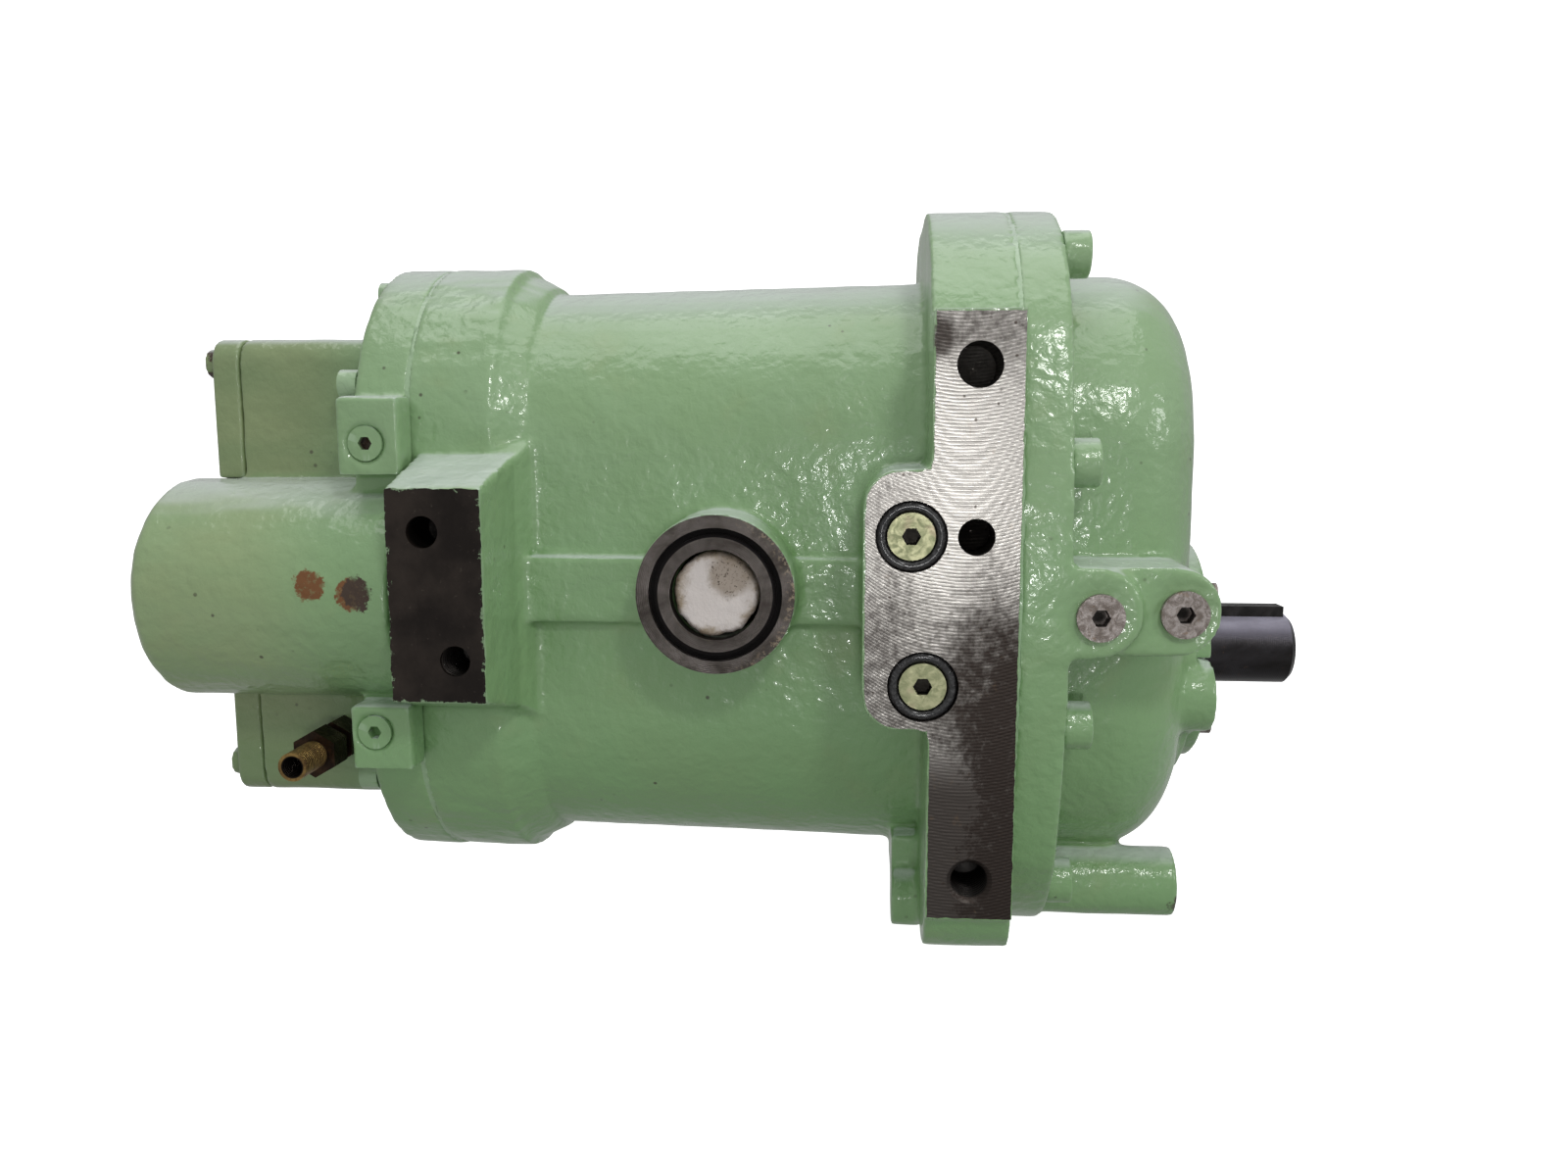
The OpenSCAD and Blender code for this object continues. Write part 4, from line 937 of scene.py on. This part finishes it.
BRIGHT = plain_metal("bearing_steel", (0.55, 0.55, 0.56), (0.40, 0.40, 0.42), (0.15, 0.30))
MATERIALS = {
    "shaft_steel": shaft_steel(),
    "key_steel": plain_metal("key_steel", (0.018, 0.017, 0.017), (0.045, 0.042, 0.042), (0.35, 0.55)),
    "bearing_steel": BRIGHT,
    "seal_rubber": wet_rubber(),
    "zinc_yellow": zinc_yellow(),
    "plug_steel": worn_plug(),
    "brass": fitting_brass(),
    "gear_steel": plain_metal("gear_steel", (0.32, 0.31, 0.30), (0.20, 0.19, 0.18), (0.25, 0.40)),
    "spring_steel": plain_metal("spring_steel", (0.16, 0.16, 0.17), (0.09, 0.09, 0.10), (0.25, 0.4)),
    "machined_iron": IRON,
    "enamel": GREEN,
}



def build_spring():
    """Return spring, which in the machine shortens between the piston and the inner end of its bore as the
    slide moves; here it is the CAD coil copied as it stands.
    """
    obj = copy_node("return_spring", "return_spring_coil")
    finish(shade(obj, 40), MATERIALS["spring_steel"], "casing", "return_spring", slot="spring_steel")
    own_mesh(obj)


build_spring()

for part in frame["record"]["subparts"]:
    obj = nodes[part["node"]]
    if obj.hide_render:
        continue
    obj.data.materials.clear()
    obj.data.materials.append(MATERIALS[part["material_slot"]])
    if part["node"] in ("ear_plug_pair", "lug_plug_pair", "block_plug_pair", "input_shaft", "shaft_key"):
        modify(obj, "WELD", merge_threshold=1e-6)
        modify(obj, "BEVEL", width=0.35 * MM, segments=3, limit_method="ANGLE", angle_limit=math.radians(40))

# ---------------------------------------------------------------- camera, floor and light


def look(obj, target):
    obj.rotation_euler = (Vector(target) - obj.location).to_track_quat("-Z", "Y").to_euler()


# in front of the machined face, a little above its middle and looking slightly down
camera = bpy.data.objects.new("camera", bpy.data.cameras.new("camera"))
bpy.context.scene.collection.objects.link(camera)
camera.location = (-0.039, -0.434, 0.065)
camera.rotation_euler = (math.radians(82.2), 0, math.radians(4.287))
camera.data.sensor_width = 36
camera.data.lens = 26.775
camera.data.clip_start = 0.01
camera.data.clip_end = 60
bpy.context.scene.camera = camera


def lamp(name, place, target, size, power, colour=(1, 1, 1)):
    """Rectangular lamp, its power in watts."""
    light = bpy.data.objects.new(name, bpy.data.lights.new(name, "AREA"))
    bpy.context.scene.collection.objects.link(light)
    light.location = place
    light.data.shape = "RECTANGLE"
    light.data.size, light.data.size_y = size
    light.data.energy = power
    light.data.color = colour
    look(light, target)


middle = (cad_low + cad_high) / 2
lamp("overhead", (middle.x, middle.y - 0.10, 1.30), middle, (1.4, 0.9), 6.2)
lamp("window", (0.30, -0.80, 0.75), (0.0, 0.0, 0.03), (0.15, 0.15), 2.4, (1.0, 0.99, 0.98))
lamp("right", (1.00, -0.55, 0.45), (-0.1, 0.05, 0.03), (0.25, 0.25), 1.5)
lamp("near", (0.02, -1.00, -0.02), (0.0, 0.05, 0.02), (0.08, 0.08), 1.15)


def stage_material():
    s = Shader("pale_floor", Roughness=0.9)
    tone = s.noise(0.4, 2)
    s.set(Base_Color=s.mix(tone, (0.86, 0.86, 0.86), (0.90, 0.90, 0.90)))
    s.set(Emission_Color=(1, 1, 1), Emission_Strength=0.95)
    return s.material


def build_stage():
    """Floor that curves up into a backdrop."""
    floor_z, back, radius, wide, high = cad_low.z - 0.004, 2.6, 0.8, 6.0, 4.0
    line = [(-4.0, 0.0), (back - radius, 0.0)]
    for a in np.linspace(0.1, math.pi / 2, 12):
        line.append((back - radius + radius * math.sin(a), radius - radius * math.cos(a)))
    line.append((back, high))
    verts = [(x, y, floor_z + z) for y, z in line for x in (-wide, wide)]
    faces = [(2 * i, 2 * i + 1, 2 * i + 3, 2 * i + 2) for i in range(len(line) - 1)]
    floor = make("backdrop", verts, faces)
    floor.data.shade_smooth()
    floor.data.materials.append(stage_material())
    floor.visible_diffuse = False
    floor.visible_glossy = False


build_stage()


def build_world():
    """Soft studio surround: pale, greyer round the horizon and darkest straight below."""
    world = bpy.data.worlds.new("studio")
    bpy.context.scene.world = world
    world.use_nodes = True
    tree = world.node_tree
    direction = tree.nodes.new("ShaderNodeTexCoord")
    split = tree.nodes.new("ShaderNodeSeparateXYZ")
    rise = tree.nodes.new("ShaderNodeMath")
    fade = tree.nodes.new("ShaderNodeValToRGB")
    background = tree.nodes["Background"]
    rise.operation = "MULTIPLY_ADD"
    rise.inputs[1].default_value = rise.inputs[2].default_value = 0.5
    tree.links.new(direction.outputs["Generated"], split.inputs[0])
    tree.links.new(split.outputs[2], rise.inputs[0])
    tree.links.new(rise.outputs[0], fade.inputs[0])
    tree.links.new(fade.outputs[0], background.inputs["Color"])
    background.inputs["Strength"].default_value = 0.50
    stops = fade.color_ramp.elements
    stops[0].color, stops[1].color = (0.50, 0.50, 0.50, 1), (1, 1, 1, 1)
    for place, level in ((0.36, 1.0), (0.47, 0.62), (0.54, 0.85)):
        stops.new(place).color = (level, level, level, 1)


build_world()

bpy.context.scene.view_settings.view_transform = "Standard"
